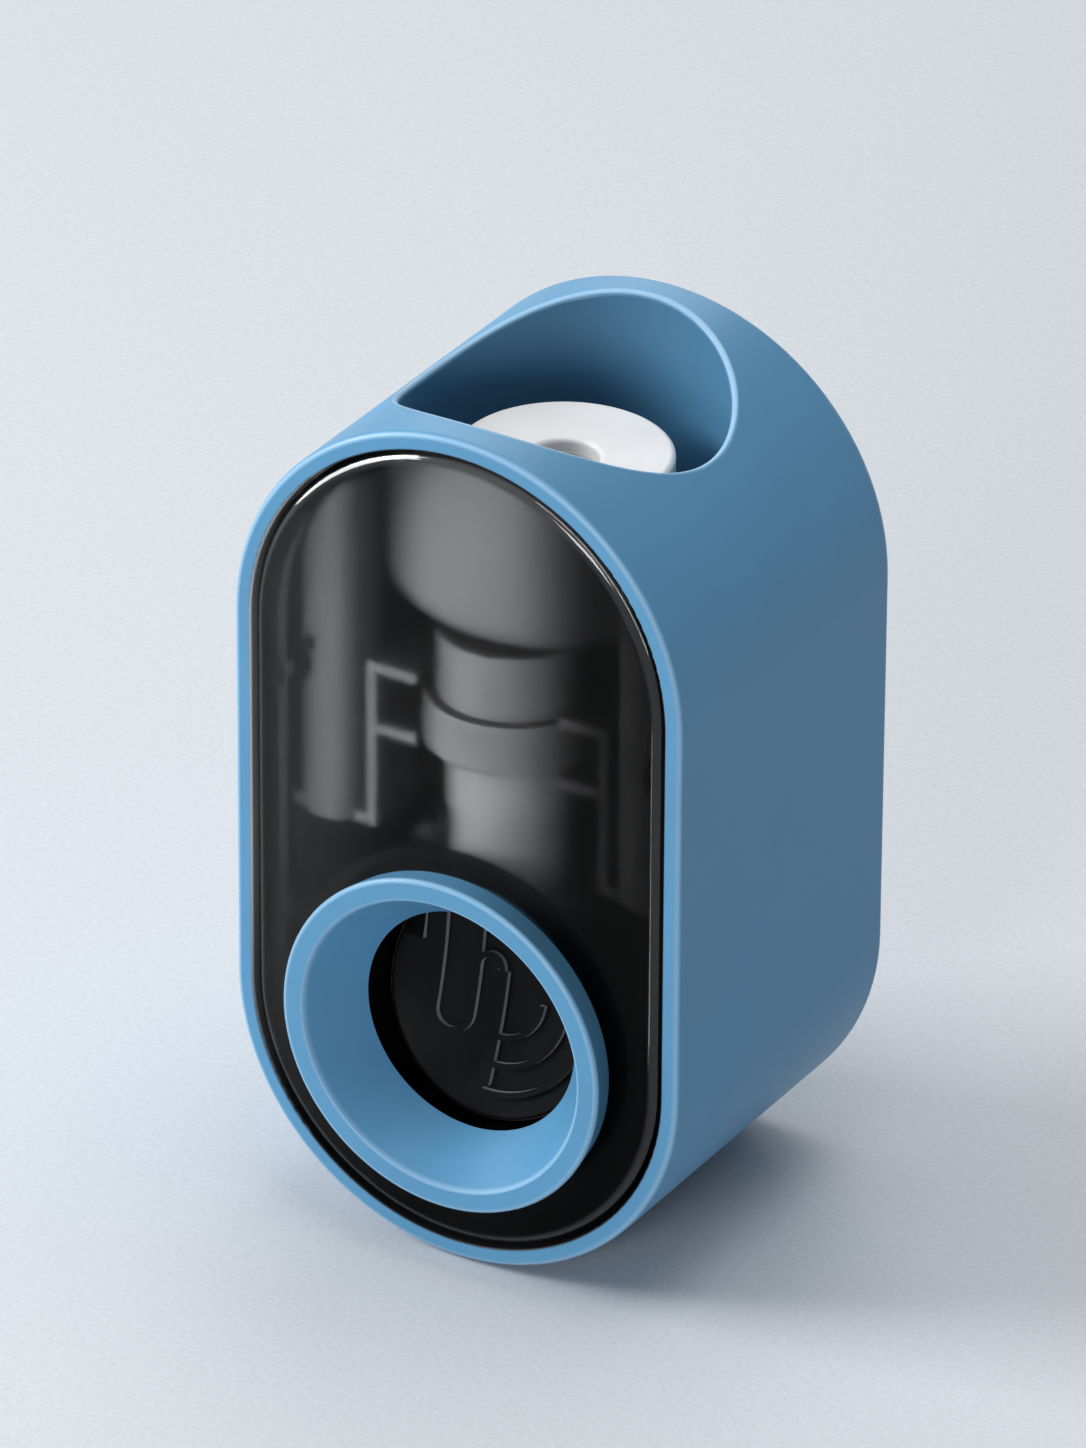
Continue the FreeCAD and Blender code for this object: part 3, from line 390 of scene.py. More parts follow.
def case_reach():
    """How far a point is from the casing's middle line, from the tube's axis and from the ring's axis."""
    tree = bpy.data.node_groups.get("case_reach")
    if tree:
        return tree
    wiring, given, result = shader_group(
        "case_reach", ["Low", "High", "Tube"], ["Reach", "Tube Reach", "Ring Reach"])
    x, y, z = wiring.apart(wiring.place())
    above = wiring.maths("MAXIMUM", wiring.maths("SUBTRACT", z, given["High"]), 0.0)
    below = wiring.maths("MAXIMUM", wiring.maths("SUBTRACT", given["Low"], z), 0.0)
    outward = wiring.maths("ADD", above, below)
    behind_tube = wiring.maths("SUBTRACT", y, given["Tube"])
    above_ring = wiring.maths("SUBTRACT", z, given["Low"])
    for label, offset in (("Reach", outward), ("Tube Reach", behind_tube), ("Ring Reach", above_ring)):
        wiring.feed(result[label], wiring.length(wiring.join(x, offset, 0.0)))
    return wiring.tree


# Moulded plastic: how its tone drifts, how its roughness varies, and its bump
drift_low = 0.95
drift_high = 1.04
rough_spread = 0.04
grain_strength = 0.12
grain_depth = 0.00006


def new_finish(name):
    """New material: the material, its wiring and its Principled shader."""
    material = bpy.data.materials.new(name)
    material.use_nodes = True
    wiring = Wiring(material.node_tree)
    return material, wiring, material.node_tree.nodes["Principled BSDF"]


def paint(material, *nodes):
    """Give CAD nodes a finish."""
    for name in nodes:
        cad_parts[name].material_slots[0].material = material


def bumped(wiring, surface, height, strength, depth):
    """Bump of a given depth on a shader."""
    bump = wiring.node("ShaderNodeBump", {"Height": height, "Strength": strength, "Distance": depth})
    wiring.feed(surface.inputs["Normal"], bump.outputs[0])


def varied(wiring, surface, mask, smooth, rough, start=0.0, full=1.0):
    """Roughness that goes from smooth to rough with a mask."""
    wiring.feed(surface.inputs["Roughness"], wiring.between(mask, start, full, smooth, rough))


def grained_finish(name, grain, smooth, rough, strength=grain_strength, depth=grain_depth):
    """New material with moulded grain: the material, its wiring, its shader and its drift of tone."""
    material, wiring, surface = new_finish(name)
    marks = wiring.group(moulded_grain(), Grain=grain)
    varied(wiring, surface, marks["Drift"], smooth, rough)
    bumped(wiring, surface, marks["Height"], strength, depth)
    return material, wiring, surface, marks["Drift"]


def drifting(wiring, drift, colour, low=drift_low, high=drift_high):
    """Colour that drifts between two shares of itself with a mask."""
    return wiring.blend(drift, opaque(colour, low), opaque(colour, high))


def moulded_finish(name, colour, grain, roughness, specular=0.5, side=1.0):
    """Satin moulded plastic in one colour with a drift of tone, and painted shade on its sides if side is
    under 1.
    """
    material, wiring, surface, drift = grained_finish(
        name, grain, roughness - rough_spread, roughness + rough_spread)
    tone = drifting(wiring, drift, colour)
    if side < 1.0:
        front = wiring.group(front_shade(), Side=side, Lean=lean_right)["Tone"]
        tone = wiring.blend(front, opaque(colour, 0.0), tone)
    wiring.feed(surface.inputs["Base Color"], tone)
    surface.inputs["Specular IOR Level"].default_value = specular
    return material


# Bands and shares of the casing's painted highlights and painted shade, bands in metres
fade_start = 0.0001
fade_full = 0.0004
rim_band = 0.0011
rim_end = 0.0003
lip_start = 0.0003
lip_fade_share = 1.6
lip_band = 0.0016
lip_end = 0.0006
wall_band = 0.001
bell_wall_share = 1.2
cover_shade_end = 0.0022
cover_shade_full = 0.0019
ring_face_end = 0.0009
ring_face_full = 0.0002
ring_outer_band = 0.0005
ring_inner_band = 0.0004
ring_back_start = 0.0004
ring_back_full = 0.0007
cone_skin = 0.0008
shell_highlight_share = 0.75
cover_highlight_share = 0.3
ring_highlight_share = 0.5

# Stretch to the left of the bracket's left cheek that gets a painted patch of light, in metres
cheek_start_x = -0.02
cheek_full_x = -0.031
cheek_fade = 0.025


def painted_light_beside_cheek(wiring, place):
    """Mask of the painted patch of light to the left of the bracket's left cheek, fading out below it."""
    left = wiring.between(place[0], cheek_start_x, cheek_full_x)
    return wiring.times(left, wiring.between(place[2], low_centre_z - cheek_fade, low_centre_z + cheek_fade))


def case_finish(name, settings, edges):
    """Blue satin plastic with a painted highlight along its rounded edges.

    edges(wiring, reach, place) gives the masks of the painted edge highlight, the painted shade on the well's
    wall, the painted shade inside and the grey bell, with a painted patch of light on the wall left of the
    cheek.
    """
    material, wiring, surface, drift = grained_finish(
        name, settings.grain, smooth=0.36, rough=0.43, strength=0.15)
    reach = wiring.group(case_reach(), Low=low_centre_z, High=high_centre_z, Tube=tube_y)
    edge, well_shade_mask, dark, pale = edges(wiring, reach, wiring.apart(wiring.place()))
    painted_inside_shade = opaque(settings.inside_shade_colour)
    # Painted shade on the sides of the bell and of the lit wall
    front = wiring.group(front_shade(), Side=settings.side_shade, Lean=lean_right)["Tone"]
    colour = drifting(wiring, drift, settings.colour, low=0.965, high=1.03)
    colour = wiring.blend(well_shade_mask, colour, opaque(settings.colour, settings.well_shade))
    colour = wiring.blend(edge, colour, opaque(settings.edge_highlight_colour))
    colour = wiring.blend(dark, colour, painted_inside_shade)
    colour = wiring.blend(pale, colour, wiring.blend(front, painted_inside_shade, opaque(settings.bell_colour)))
    wiring.feed(surface.inputs["Base Color"], colour)
    surface.inputs["Specular IOR Level"].default_value = 0.28
    return material


def foot_finish(settings):
    """Ribbed rubber of the foot strips."""
    material, wiring, surface = new_finish("foot_rubber_ribbed")
    marks = wiring.group(moulded_grain(), Grain=settings.grain)
    wave_repeat = 0.314
    fineness = wave_repeat / settings.rib_pitch
    waves = wiring.node("ShaderNodeTexWave", {"Vector": wiring.place(), "Scale": fineness},
                        wave_type="BANDS", bands_direction="Y", wave_profile="SIN")
    ribs = waves.outputs[1]
    # Painted shade: the ribs' grooves are darker
    tone = drifting(wiring, ribs, settings.rubber_colour, low=0.7, high=1.0)
    wiring.feed(surface.inputs["Base Color"], tone)
    varied(wiring, surface, marks["Drift"], smooth=0.72, rough=0.84)
    grain_share = 0.3
    height = wiring.maths("ADD", ribs, wiring.times(marks["Height"], grain_share))
    bumped(wiring, surface, height, strength=0.6, depth=0.0002)
    return material


class DISPENSER_OT_case(bpy.types.Operator):
    """Finish the casing, its rear cover, its ring and its foot strips"""

    bl_idname = "dispenser.case"
    bl_label = "Casing"

    def execute(self, context):
        settings = context.scene.dispenser.case
        width = settings.edge_width

        def shell_masks(wiring, reach, place):
            out, from_tube = reach["Reach"], reach["Tube Reach"]
            # Painted highlight along the front rim's rounded edge and the well's lip
            rim = wiring.between(place[1], front_y + width, front_y + fade_start)
            rim = wiring.times(rim, wiring.between(out, case_radius - rim_band, case_radius - rim_end))
            lip = wiring.between(from_tube, well_radius, well_radius + lip_start)
            lip = wiring.times(
                lip, wiring.between(from_tube, well_radius + lip_fade_share * width, well_radius + width))
            lip = wiring.times(lip, wiring.between(out, case_radius - lip_band, case_radius - lip_end))
            edge = wiring.times(wiring.maths("MAXIMUM", rim, lip), shell_highlight_share)
            # Painted shade on the wall inside the well
            well_shade_mask = wiring.between(from_tube, well_radius + fade_full, well_radius + fade_start)
            aside = wiring.maths("SUBTRACT", from_tube, well_radius - well_corner)
            below = wiring.maths("SUBTRACT", well_floor_z + well_corner, place[2])
            corner = wiring.length(wiring.join(
                wiring.maths("MAXIMUM", aside, 0.0), wiring.maths("MAXIMUM", below, 0.0), 0.0))
            # Painted shade: the inside of the casing, outside the well, is near black
            inside = wiring.between(out, inside_radius + fade_full, inside_radius + fade_start)
            dark = wiring.times(inside, wiring.maths("GREATER_THAN", corner, well_corner + well_wall / 2))
            # The grey bell and, as painted light, the inner wall left of the cheek
            bell = wiring.maths("LESS_THAN", corner, well_corner + bell_wall_share * well_wall)
            wall = wiring.between(out, inside_radius - wall_band, inside_radius - wall_band / 2)
            pale = wiring.maths("MAXIMUM", bell, wiring.times(wall, painted_light_beside_cheek(wiring, place)))
            return edge, well_shade_mask, dark, wiring.times(pale, dark)

        def cover_masks(wiring, reach, place):
            # Painted highlight along the rear cover's rounded edge
            edge = wiring.between(reach["Reach"], cover_high.x - width, cover_high.x)
            # Painted shade: the rear cover's inner face is near black
            dark = wiring.between(place[1], cover_low.y + cover_shade_end, cover_low.y + cover_shade_full)
            return wiring.times(edge, cover_highlight_share), 0.0, dark, 0.0

        def ring_masks(wiring, reach, place):
            from_ring = reach["Ring Reach"]
            # Painted highlight along the ring face's outer edge and its mouth
            face = wiring.between(place[1], ring_low.y + ring_face_end, ring_low.y + ring_face_full)
            outer = wiring.between(from_ring, ring_face_radius - ring_outer_band, ring_face_radius)
            inner = wiring.between(from_ring, ring_mouth_radius + ring_inner_band, ring_mouth_radius)
            edge = wiring.times(wiring.maths("MAXIMUM", outer, inner), face)
            # Painted shade: the ring's throat behind the panel is near black
            behind = wiring.between(place[1], panel_high.y + ring_back_start, panel_high.y + ring_back_full)
            from_cone = wiring.maths("ADD", from_ring, wiring.times(place[1], cone_slope))
            dark = wiring.times(behind, wiring.maths("GREATER_THAN", from_cone, cone_start + cone_skin))
            return wiring.times(edge, ring_highlight_share), 0.0, dark, 0.0

        paint(case_finish("case_shell", settings, shell_masks), "main_shell")
        paint(case_finish("case_cover", settings, cover_masks), "rear_cover")
        paint(case_finish("case_ring", settings, ring_masks), "brush_ring")
        paint(foot_finish(settings), "foot_strips")
        return {"FINISHED"}


# Shares of the panel's border and half width where its tones and its painted shade to the right begin and
# end, and the tones there
border_full_share = 0.6
border_tone = 0.1
dark_start_share = 0.2
dark_full_share = 0.68
polish_start_share = -0.9
polish_end_share = -0.2
polish_left_over = 0.05
smear_tone = 0.96


def panel_finish(settings):
    """Smoked, frosted plastic with a polished border, its tint darker to its right as painted shade over what
    lies behind, and glossier to its left.
    """
    material, wiring, surface = new_finish("smoked_pane")
    smears = wiring.group(soft_smears(), Streak=0.012)["Smear"]
    reach = wiring.group(case_reach(), Low=low_centre_z, High=high_centre_z, Tube=tube_y)["Reach"]
    half_width = panel_high.x
    border = wiring.between(
        reach, half_width - settings.border, half_width - border_full_share * settings.border)
    across = wiring.apart(wiring.place())[0]
    # Painted shade: the smoke lets less light through towards the right
    right = wiring.between(across, dark_start_share * half_width, dark_full_share * half_width)
    smoke = drifting(wiring, smears, settings.smoke, low=1.0, high=smear_tone)
    smoke = wiring.blend(right, smoke, opaque(settings.smoke, settings.shade))
    smoke = wiring.blend(border, smoke, opaque(settings.smoke, border_tone))
    wiring.feed(surface.inputs["Base Color"], smoke)
    varied(wiring, surface, smears, settings.frost, settings.frost + rough_spread)
    surface.inputs["Transmission Weight"].default_value = 1.0
    surface.inputs["IOR"].default_value = 1.1
    surface.inputs["Coat Roughness"].default_value = 0.04
    polish = wiring.between(across, polish_start_share * half_width, polish_end_share * half_width,
                            settings.polish, polish_left_over)
    wiring.feed(surface.inputs["Coat Weight"], wiring.maths("MAXIMUM", border, polish))
    clear = wiring.node("ShaderNodeBsdfTransparent", {0: opaque(math.sqrt(part) for part in settings.smoke)})
    rays = wiring.node("ShaderNodeLightPath")
    mixed = wiring.node("ShaderNodeMixShader", {
        0: rays.outputs["Is Shadow Ray"], 1: surface.outputs[0], 2: clear.outputs[0]})
    wiring.feed(wiring.tree.nodes["Material Output"].inputs[0], mixed.outputs[0])
    return material


class DISPENSER_OT_front(bpy.types.Operator):
    """Finish the smoked panel and the black pieces behind it"""

    bl_idname = "dispenser.front"
    bl_label = "Front"

    def execute(self, context):
        settings = context.scene.dispenser.front
        grain = context.scene.dispenser.case.grain
        black = settings.black_matte
        paint(panel_finish(settings), "front_panel")
        paint(moulded_finish("black_matte_plain", black, grain, roughness=0.6, specular=0.3), "ring_retainer")
        material, wiring, surface, _ = grained_finish("frame_matte", grain, smooth=0.56, rough=0.64)
        # Painted light: a grey patch on the frame beside the cheek
        lighter = painted_light_beside_cheek(wiring, wiring.apart(wiring.place()))
        tone = wiring.blend(lighter, opaque(black), opaque(settings.frame_lit_grey))
        wiring.feed(surface.inputs["Base Color"], tone)
        surface.inputs["Specular IOR Level"].default_value = 0.3
        paint(material, "panel_frame")
        return {"FINISHED"}


# How far a rib's side has to turn from the flap's face, as the forward part of its direction
steep_start = 0.85
steep_full = 0.5


def gloss_finish(name, black, line, specular):
    """Glossy black plastic with faint smears, its steep faces in the tone of line, which on the flap is a
    painted highlight.
    """
    material, wiring, surface = new_finish(name)
    smears = wiring.group(soft_smears(), Streak=0.008)["Smear"]
    forward = wiring.maths("ABSOLUTE", wiring.apart(wiring.normal())[1])
    plain = drifting(wiring, smears, black, low=1.0, high=1.5)
    # Painted highlight on the steep faces, such as the flap's rib sides
    tone = wiring.blend(wiring.between(forward, steep_start, steep_full), plain, opaque(line))
    wiring.feed(surface.inputs["Base Color"], tone)
    varied(wiring, surface, smears, smooth=0.3, rough=0.4)
    surface.inputs["Specular IOR Level"].default_value = specular
    return material


def steel_finish(colour):
    """Drawn steel with fine lines, made once."""
    material = bpy.data.materials.get("drawn_steel")
    if material:
        return material
    material, wiring, surface = new_finish("drawn_steel")
    lines = wiring.noise(drawn_scale, detail=2.0)
    wiring.feed(surface.inputs["Base Color"], drifting(wiring, lines, colour, low=0.85, high=1.1))
    varied(wiring, surface, lines, smooth=0.24, rough=0.38, start=noise_low, full=noise_high)
    surface.inputs["Metallic"].default_value = 1.0
    bumped(wiring, surface, lines, strength=0.1, depth=0.00003)
    return material


def silicone_finish(colour):
    """Milky soft silicone, made once."""
    material = bpy.data.materials.get("milky_silicone")
    if material:
        return material
    material, wiring, surface, drift = grained_finish(
        "milky_silicone", grain=0.0005, smooth=0.5, rough=0.6, strength=0.1, depth=0.00005)
    wiring.feed(surface.inputs["Base Color"], drifting(wiring, drift, colour, low=0.94, high=1.03))
    surface.inputs["Sheen Weight"].default_value = 0.15
    return material


class DISPENSER_OT_brush_way(bpy.types.Operator):
    """Finish the flap, its pins and the brush channel"""

    bl_idname = "dispenser.brush_way"
    bl_label = "Brush Way"

    def execute(self, context):
        settings = context.scene.dispenser.front
        black = settings.black_gloss
        paint(gloss_finish("flap_gloss", black, settings.rib_highlight, specular=0.07), "press_flap")
        paint(gloss_finish("channel_gloss", black, black, specular=0.04), "brush_channel")
        paint(steel_finish(context.scene.dispenser.pump.steel), "pivot_pins")
        return {"FINISHED"}


# Bracket: how far from its front and its back its painted shade darkens it, in metres, and the tone there
bracket_margin = 0.008
bracket_shade_tone = 0.03


class DISPENSER_OT_pump(bpy.types.Operator):
    """Finish the pump's moulded pieces, its valves and its bracket"""

    bl_idname = "dispenser.pump"
    bl_label = "Pump"

    def execute(self, context):
        settings = context.scene.dispenser.pump
        grain = context.scene.dispenser.case.grain
        side = context.scene.dispenser.case.side_shade
        pump = moulded_finish("pump_satin", settings.grey, grain, roughness=0.5, side=side)
        paint(pump, "pump_head", "collar_nut")
        # Painted light: the nozzle's lighter grey stands in for light it doesn't get
        nozzle = moulded_finish("nozzle_satin", settings.nozzle_lit_grey, grain, roughness=0.5, side=side)
        paint(nozzle, "nozzle", "nozzle_cap", "lift_yoke")
        paint(silicone_finish(settings.silicone), "socket_seal", "inlet_valve", "outlet_valve")

        material, wiring, surface, drift = grained_finish("bracket_satin", grain, smooth=0.5, rough=0.58)
        dark = opaque(settings.bracket_grey, bracket_shade_tone)
        front = wiring.group(front_shade(), Side=side, Lean=lean_left)["Tone"]
        colour = wiring.blend(front, dark, drifting(wiring, drift, settings.bracket_grey))
        # Painted shade: the bracket darkens towards its back, and its sides are darker
        depth = wiring.apart(wiring.place())[1]
        back = wiring.between(depth, bracket_low.y + bracket_margin, bracket_high.y - bracket_margin)
        wiring.feed(surface.inputs["Base Color"], wiring.blend(back, colour, dark))
        paint(material, "pump_bracket")
        return {"FINISHED"}


# Steps and sides of the round meshes
fold_steps = 49
fold_sides = 64
coil_steps = 48
wire_sides = 16
head_sides = 40
head_rings = 5
shank_sides = 24

# Screw head: how its dome falls to its rim, by a share of its height, and its recess over its radius
dome_power = 3.0
dome_fall_share = 0.4
recess_share = 1.15


def geometry_tree(name, sizes):
    """Empty Geometry Nodes tree: its wiring and its named inputs."""
    tree = bpy.data.node_groups.new(name, "GeometryNodeTree")
    tree.interface.new_socket("Geometry", in_out="INPUT", socket_type="NodeSocketGeometry")
    tree.interface.new_socket("Geometry", in_out="OUTPUT", socket_type="NodeSocketGeometry")
    tree.interface.new_socket("Material", in_out="INPUT", socket_type="NodeSocketMaterial")
    for label in sizes:
        tree.interface.new_socket(label, in_out="INPUT", socket_type="NodeSocketFloat")
    wiring = Wiring(tree)
    return wiring, wiring.node("NodeGroupInput").outputs


def close_tree(wiring, given, geometry):
    """End a tree in Realize Instances and Set Material."""
    smooth = wiring.node("GeometryNodeSetShadeSmooth", {0: geometry})
    plain = wiring.node("GeometryNodeRealizeInstances", {0: smooth.outputs[0]})
    painted = wiring.node("GeometryNodeSetMaterial", {0: plain.outputs[0], "Material": given["Material"]})
    wiring.feed(wiring.node("NodeGroupOutput").inputs[0], painted.outputs[0])
    return wiring.tree


def grown(name, tree, points, material, sizes, wall=0.0):
    """Plain mesh piece that a Geometry Nodes tree makes on points, with a wall if one is given."""
    seed_mesh = bpy.data.meshes.new(name)
    seed_mesh.from_pydata(points, [], [])
    piece = bpy.data.objects.new(name, seed_mesh)
    bpy.context.scene.collection.objects.link(piece)
    modifier = piece.modifiers.new(name, "NODES")
    modifier.node_group = tree
    values = {"Material": material, **sizes}
    for item in tree.interface.items_tree:
        if item.in_out == "INPUT" and item.name in values:
            modifier[item.identifier] = values[item.name]
    depsgraph = bpy.context.evaluated_depsgraph_get()
    mesh = bpy.data.meshes.new_from_object(piece.evaluated_get(depsgraph))
    piece.modifiers.remove(modifier)
    piece.data = mesh
    bpy.data.meshes.remove(seed_mesh)
    mesh.name = name
    shape = bmesh.new()
    shape.from_mesh(mesh)
    bmesh.ops.remove_doubles(shape, verts=shape.verts, dist=1e-6)
    bmesh.ops.recalc_face_normals(shape, faces=shape.faces)
    if wall:
        bmesh.ops.solidify(shape, geom=shape.faces, thickness=wall)
    shape.to_mesh(mesh)
    shape.free()
    if not mesh.polygons:
        raise RuntimeError(f"{name} came out empty")
    return piece


def fold_tree():
    """Soft tube whose radius swells and narrows along its height."""
    tree = bpy.data.node_groups.get("bellows_folds")
    if tree:
        return tree
    wiring, given = geometry_tree("bellows_folds", ["Low", "High", "Axis", "Valley", "Peak", "Folds"])
    start = wiring.join(0.0, given["Axis"], given["High"])
    end = wiring.join(0.0, given["Axis"], given["Low"])
    line = wiring.node("GeometryNodeCurvePrimitiveLine", {"Start": start, "End": end})
    path = wiring.node("GeometryNodeResampleCurve", {"Curve": line.outputs[0], "Count": fold_steps})
    along = wiring.node("GeometryNodeSplineParameter").outputs["Factor"]
    turn = wiring.times(wiring.times(along, given["Folds"]), math.tau)
    swell = wiring.maths("SUBTRACT", 0.5, wiring.times(wiring.maths("COSINE", turn), 0.5))
    reach = wiring.maths("SUBTRACT", given["Peak"], given["Valley"])
    radius = wiring.maths("ADD", given["Valley"], wiring.times(swell, reach))
    ring = wiring.node("GeometryNodeCurvePrimitiveCircle", {"Resolution": fold_sides, "Radius": 1.0})
    tube = wiring.node("GeometryNodeCurveToMesh", {
        "Curve": path.outputs[0], "Profile Curve": ring.outputs[0], "Scale": radius})
    return close_tree(wiring, given, tube.outputs[0])


class DISPENSER_OT_bellows(bpy.types.Operator):
    """Make the soft bellows: its folds and its two collars"""

    bl_idname = "dispenser.bellows"
    bl_label = "Bellows"

    def execute(self, context):
        settings = context.scene.dispenser.pump
        material = silicone_finish(settings.silicone)
        valley = settings.valley_radius
        spans = (
            ("bellows_upper_collar", "case", spigot_end_high_z, bellows_high.z, valley),
            ("bellows_fold_wall", "case", spigot_end_low_z, spigot_end_high_z, settings.peak_radius),
            ("bellows_lower_collar", "nozzle_lifter", bellows_low.z, spigot_end_low_z, valley),
        )
        for name, body, low, high, peak in spans:
            sizes = {"Low": low, "High": high, "Axis": pump_y, "Valley": valley, "Peak": peak,
                     "Folds": float(settings.folds)}
            piece = grown(name, fold_tree(), [(0.0, 0.0, 0.0)], material, sizes, settings.wall)
            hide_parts("bellows")
            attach(piece, body)
            if name == "bellows_fold_wall":
                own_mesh(piece)
        return {"FINISHED"}


def coil_tree():
    """Round wire wound into a coil."""
    wiring, given = geometry_tree("wire_coil", ["Low", "Axis", "Height", "Radius", "Wire", "Turns"])
    spiral = wiring.node("GeometryNodeCurveSpiral", {
        "Resolution": coil_steps, "Rotations": given["Turns"], "Start Radius": given["Radius"],
        "End Radius": given["Radius"], "Height": given["Height"]})
    standing = wiring.moved(spiral.outputs[0], wiring.join(0.0, given["Axis"], given["Low"]))
    section = wiring.node("GeometryNodeCurvePrimitiveCircle", {
        "Resolution": wire_sides, "Radius": given["Wire"]})
    wire = wiring.node("GeometryNodeCurveToMesh", {
        "Curve": standing, "Profile Curve": section.outputs[0], "Fill Caps": True})
    return close_tree(wiring, given, wire.outputs[0])


class DISPENSER_OT_spring(bpy.types.Operator):
    """Make the coil spring inside the bellows"""

    bl_idname = "dispenser.spring"
    bl_label = "Spring"

    def execute(self, context):
        settings = context.scene.dispenser.pump
        sizes = {
            "Low": spring_low.z + spring_wire_radius,
            "Axis": pump_y,
            "Height": spring_high.z - spring_low.z - 2 * spring_wire_radius,
            "Radius": spring_high.x - spring_wire_radius,
            "Wire": spring_wire_radius,
            "Turns": settings.coils,
        }
        piece = grown("spring_coil", coil_tree(), [(0.0, 0.0, 0.0)], steel_finish(settings.steel), sizes)
        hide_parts("return_spring")
        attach(piece, "case")
        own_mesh(piece)
        return {"FINISHED"}


def screw_tree():
    """Pan-head screws with a cross recess, one on each point, heads up along Z turned to Y by Facing."""
    wiring, given = geometry_tree("pan_screws", ["Head", "Height", "Shank", "Length", "Recess", "Facing"])
    height = given["Height"]
    head = wiring.node("GeometryNodeMeshCylinder", {
        "Vertices": head_sides, "Side Segments": 3, "Fill Segments": head_rings,
        "Radius": given["Head"], "Depth": height})
    x, y, z = wiring.apart(wiring.node("GeometryNodeInputPosition").outputs[0])
    share = wiring.maths("DIVIDE", wiring.length(wiring.join(x, y, 0.0)), given["Head"])
    fall = wiring.times(wiring.maths("POWER", share, dome_power), wiring.times(height, -dome_fall_share))
    dome = wiring.node("GeometryNodeSetPosition", {
        "Geometry": head.outputs["Mesh"], "Selection": wiring.maths("GREATER_THAN", z, 0.0),
        "Offset": wiring.join(0.0, 0.0, fall)})
    lifted = wiring.moved(dome.outputs[0], wiring.join(0.0, 0.0, wiring.times(height, 0.5)))
    arm = wiring.times(given["Head"], recess_share)
    bars = wiring.node("GeometryNodeJoinGeometry")
    for long, wide in ((arm, given["Recess"]), (given["Recess"], arm)):
        bar = wiring.node("GeometryNodeMeshCube", {"Size": wiring.join(long, wide, height)})
        wiring.feed(bars.inputs[0], wiring.moved(bar.outputs[0], wiring.join(0.0, 0.0, height)))
    cut = wiring.node(
        "GeometryNodeMeshBoolean",
        {"Mesh 1": lifted, "Mesh 2": bars.outputs[0], "Self Intersection": True},
        solver="EXACT", operation="DIFFERENCE")
    shank = wiring.node("GeometryNodeMeshCylinder", {
        "Vertices": shank_sides, "Radius": given["Shank"], "Depth": given["Length"]})
    lowered = wiring.moved(
        shank.outputs["Mesh"], wiring.join(0.0, 0.0, wiring.times(given["Length"], -0.5)))
    whole = wiring.node("GeometryNodeJoinGeometry")
    for part in (cut.outputs[0], lowered):
        wiring.feed(whole.inputs[0], part)
    turn = wiring.join(wiring.times(given["Facing"], -math.pi / 2), 0.0, 0.0)
    places = wiring.node("GeometryNodeMeshToPoints", {"Mesh": given["Geometry"]})
    screws = wiring.node("GeometryNodeInstanceOnPoints", {
        "Points": places.outputs[0], "Instance": whole.outputs[0], "Rotation": turn})
    return close_tree(wiring, given, screws.outputs[0])


class DISPENSER_OT_screws(bpy.types.Operator):
    """Make the screws of the brush channel, the bracket and the rear cover"""

    bl_idname = "dispenser.screws"
    bl_label = "Screws"

    def execute(self, context):
        settings = context.scene.dispenser.pump
        tree = screw_tree()
        material = steel_finish(settings.steel)
        sizes = {"Head": settings.screw_head, "Height": settings.screw_height, "Shank": settings.screw_shank,
                 "Length": settings.screw_length, "Recess": settings.recess_width}
        for node, facing in (("channel_screws", -1.0), ("bracket_screws", -1.0), ("cover_screws", 1.0)):
            low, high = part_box(node)
            seat = low.y + settings.screw_height if facing < 0 else high.y - settings.screw_height
            rows = sorted({round(low.z + settings.screw_head, 6), round(high.z - settings.screw_head, 6)})
            columns = (low.x + settings.screw_head, high.x - settings.screw_head)
            points = [(x, seat, z) for x in columns for z in rows]
            piece = grown(f"{node}_cross", tree, points, material, {**sizes, "Facing": facing})
            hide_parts(node)
            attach(piece, "case")
        return {"FINISHED"}


class DISPENSER_OT_socket(bpy.types.Operator):
    """Finish the white tube socket"""

    bl_idname = "dispenser.socket"
    bl_label = "Tube Socket"

    def execute(self, context):
        grain = context.scene.dispenser.case.grain
        white = context.scene.dispenser.socket.white
        paint(moulded_finish("socket_satin", white, grain, roughness=0.42), "tube_socket")
        return {"FINISHED"}


# Foam: where a cell opens and is fully open
cell_start = 0.1
cell_full = 0.6


class DISPENSER_OT_hanger(bpy.types.Operator):
    """Finish the wall plate and its adhesive pad"""

    bl_idname = "dispenser.hanger"
    bl_label = "Hanger"

    def execute(self, context):
        settings = context.scene.dispenser.socket
        grain = context.scene.dispenser.case.grain
        black = context.scene.dispenser.front.black_matte
        paint(moulded_finish("wall_plate_black", black, grain, roughness=0.55), "wall_plate")
        material, wiring, surface = new_finish("pad_foam_cells")
        cells = wiring.node("ShaderNodeTexVoronoi", {"Vector": wiring.place(), "Scale": 1.0 / settings.cell})
        open_cell = wiring.between(cells.outputs[0], cell_start, cell_full)
        tone = drifting(wiring, open_cell, settings.foam, low=0.6, high=1.1)
        wiring.feed(surface.inputs["Base Color"], tone)
        varied(wiring, surface, open_cell, smooth=0.95, rough=0.8)
        bumped(wiring, surface, open_cell, strength=0.7, depth=0.0002)
        paint(material, "adhesive_pad")
        return {"FINISHED"}


# Floor: half its width, and how far from the object it starts and ends turning into the backdrop, in metres
floor_half = 4.0
backdrop_start = 0.4
backdrop_full = 1.0


def area_lamp(name, width, height, power):
    """Rectangular lamp that the camera doesn't see."""
    light = bpy.data.lights.new(name, "AREA")
    light.shape = "RECTANGLE"
    light.size, light.size_y = width, height
    light.energy = power
    lamp = bpy.data.objects.new(name, light)
    lamp.visible_camera = False
    bpy.context.scene.collection.objects.link(lamp)
    return lamp


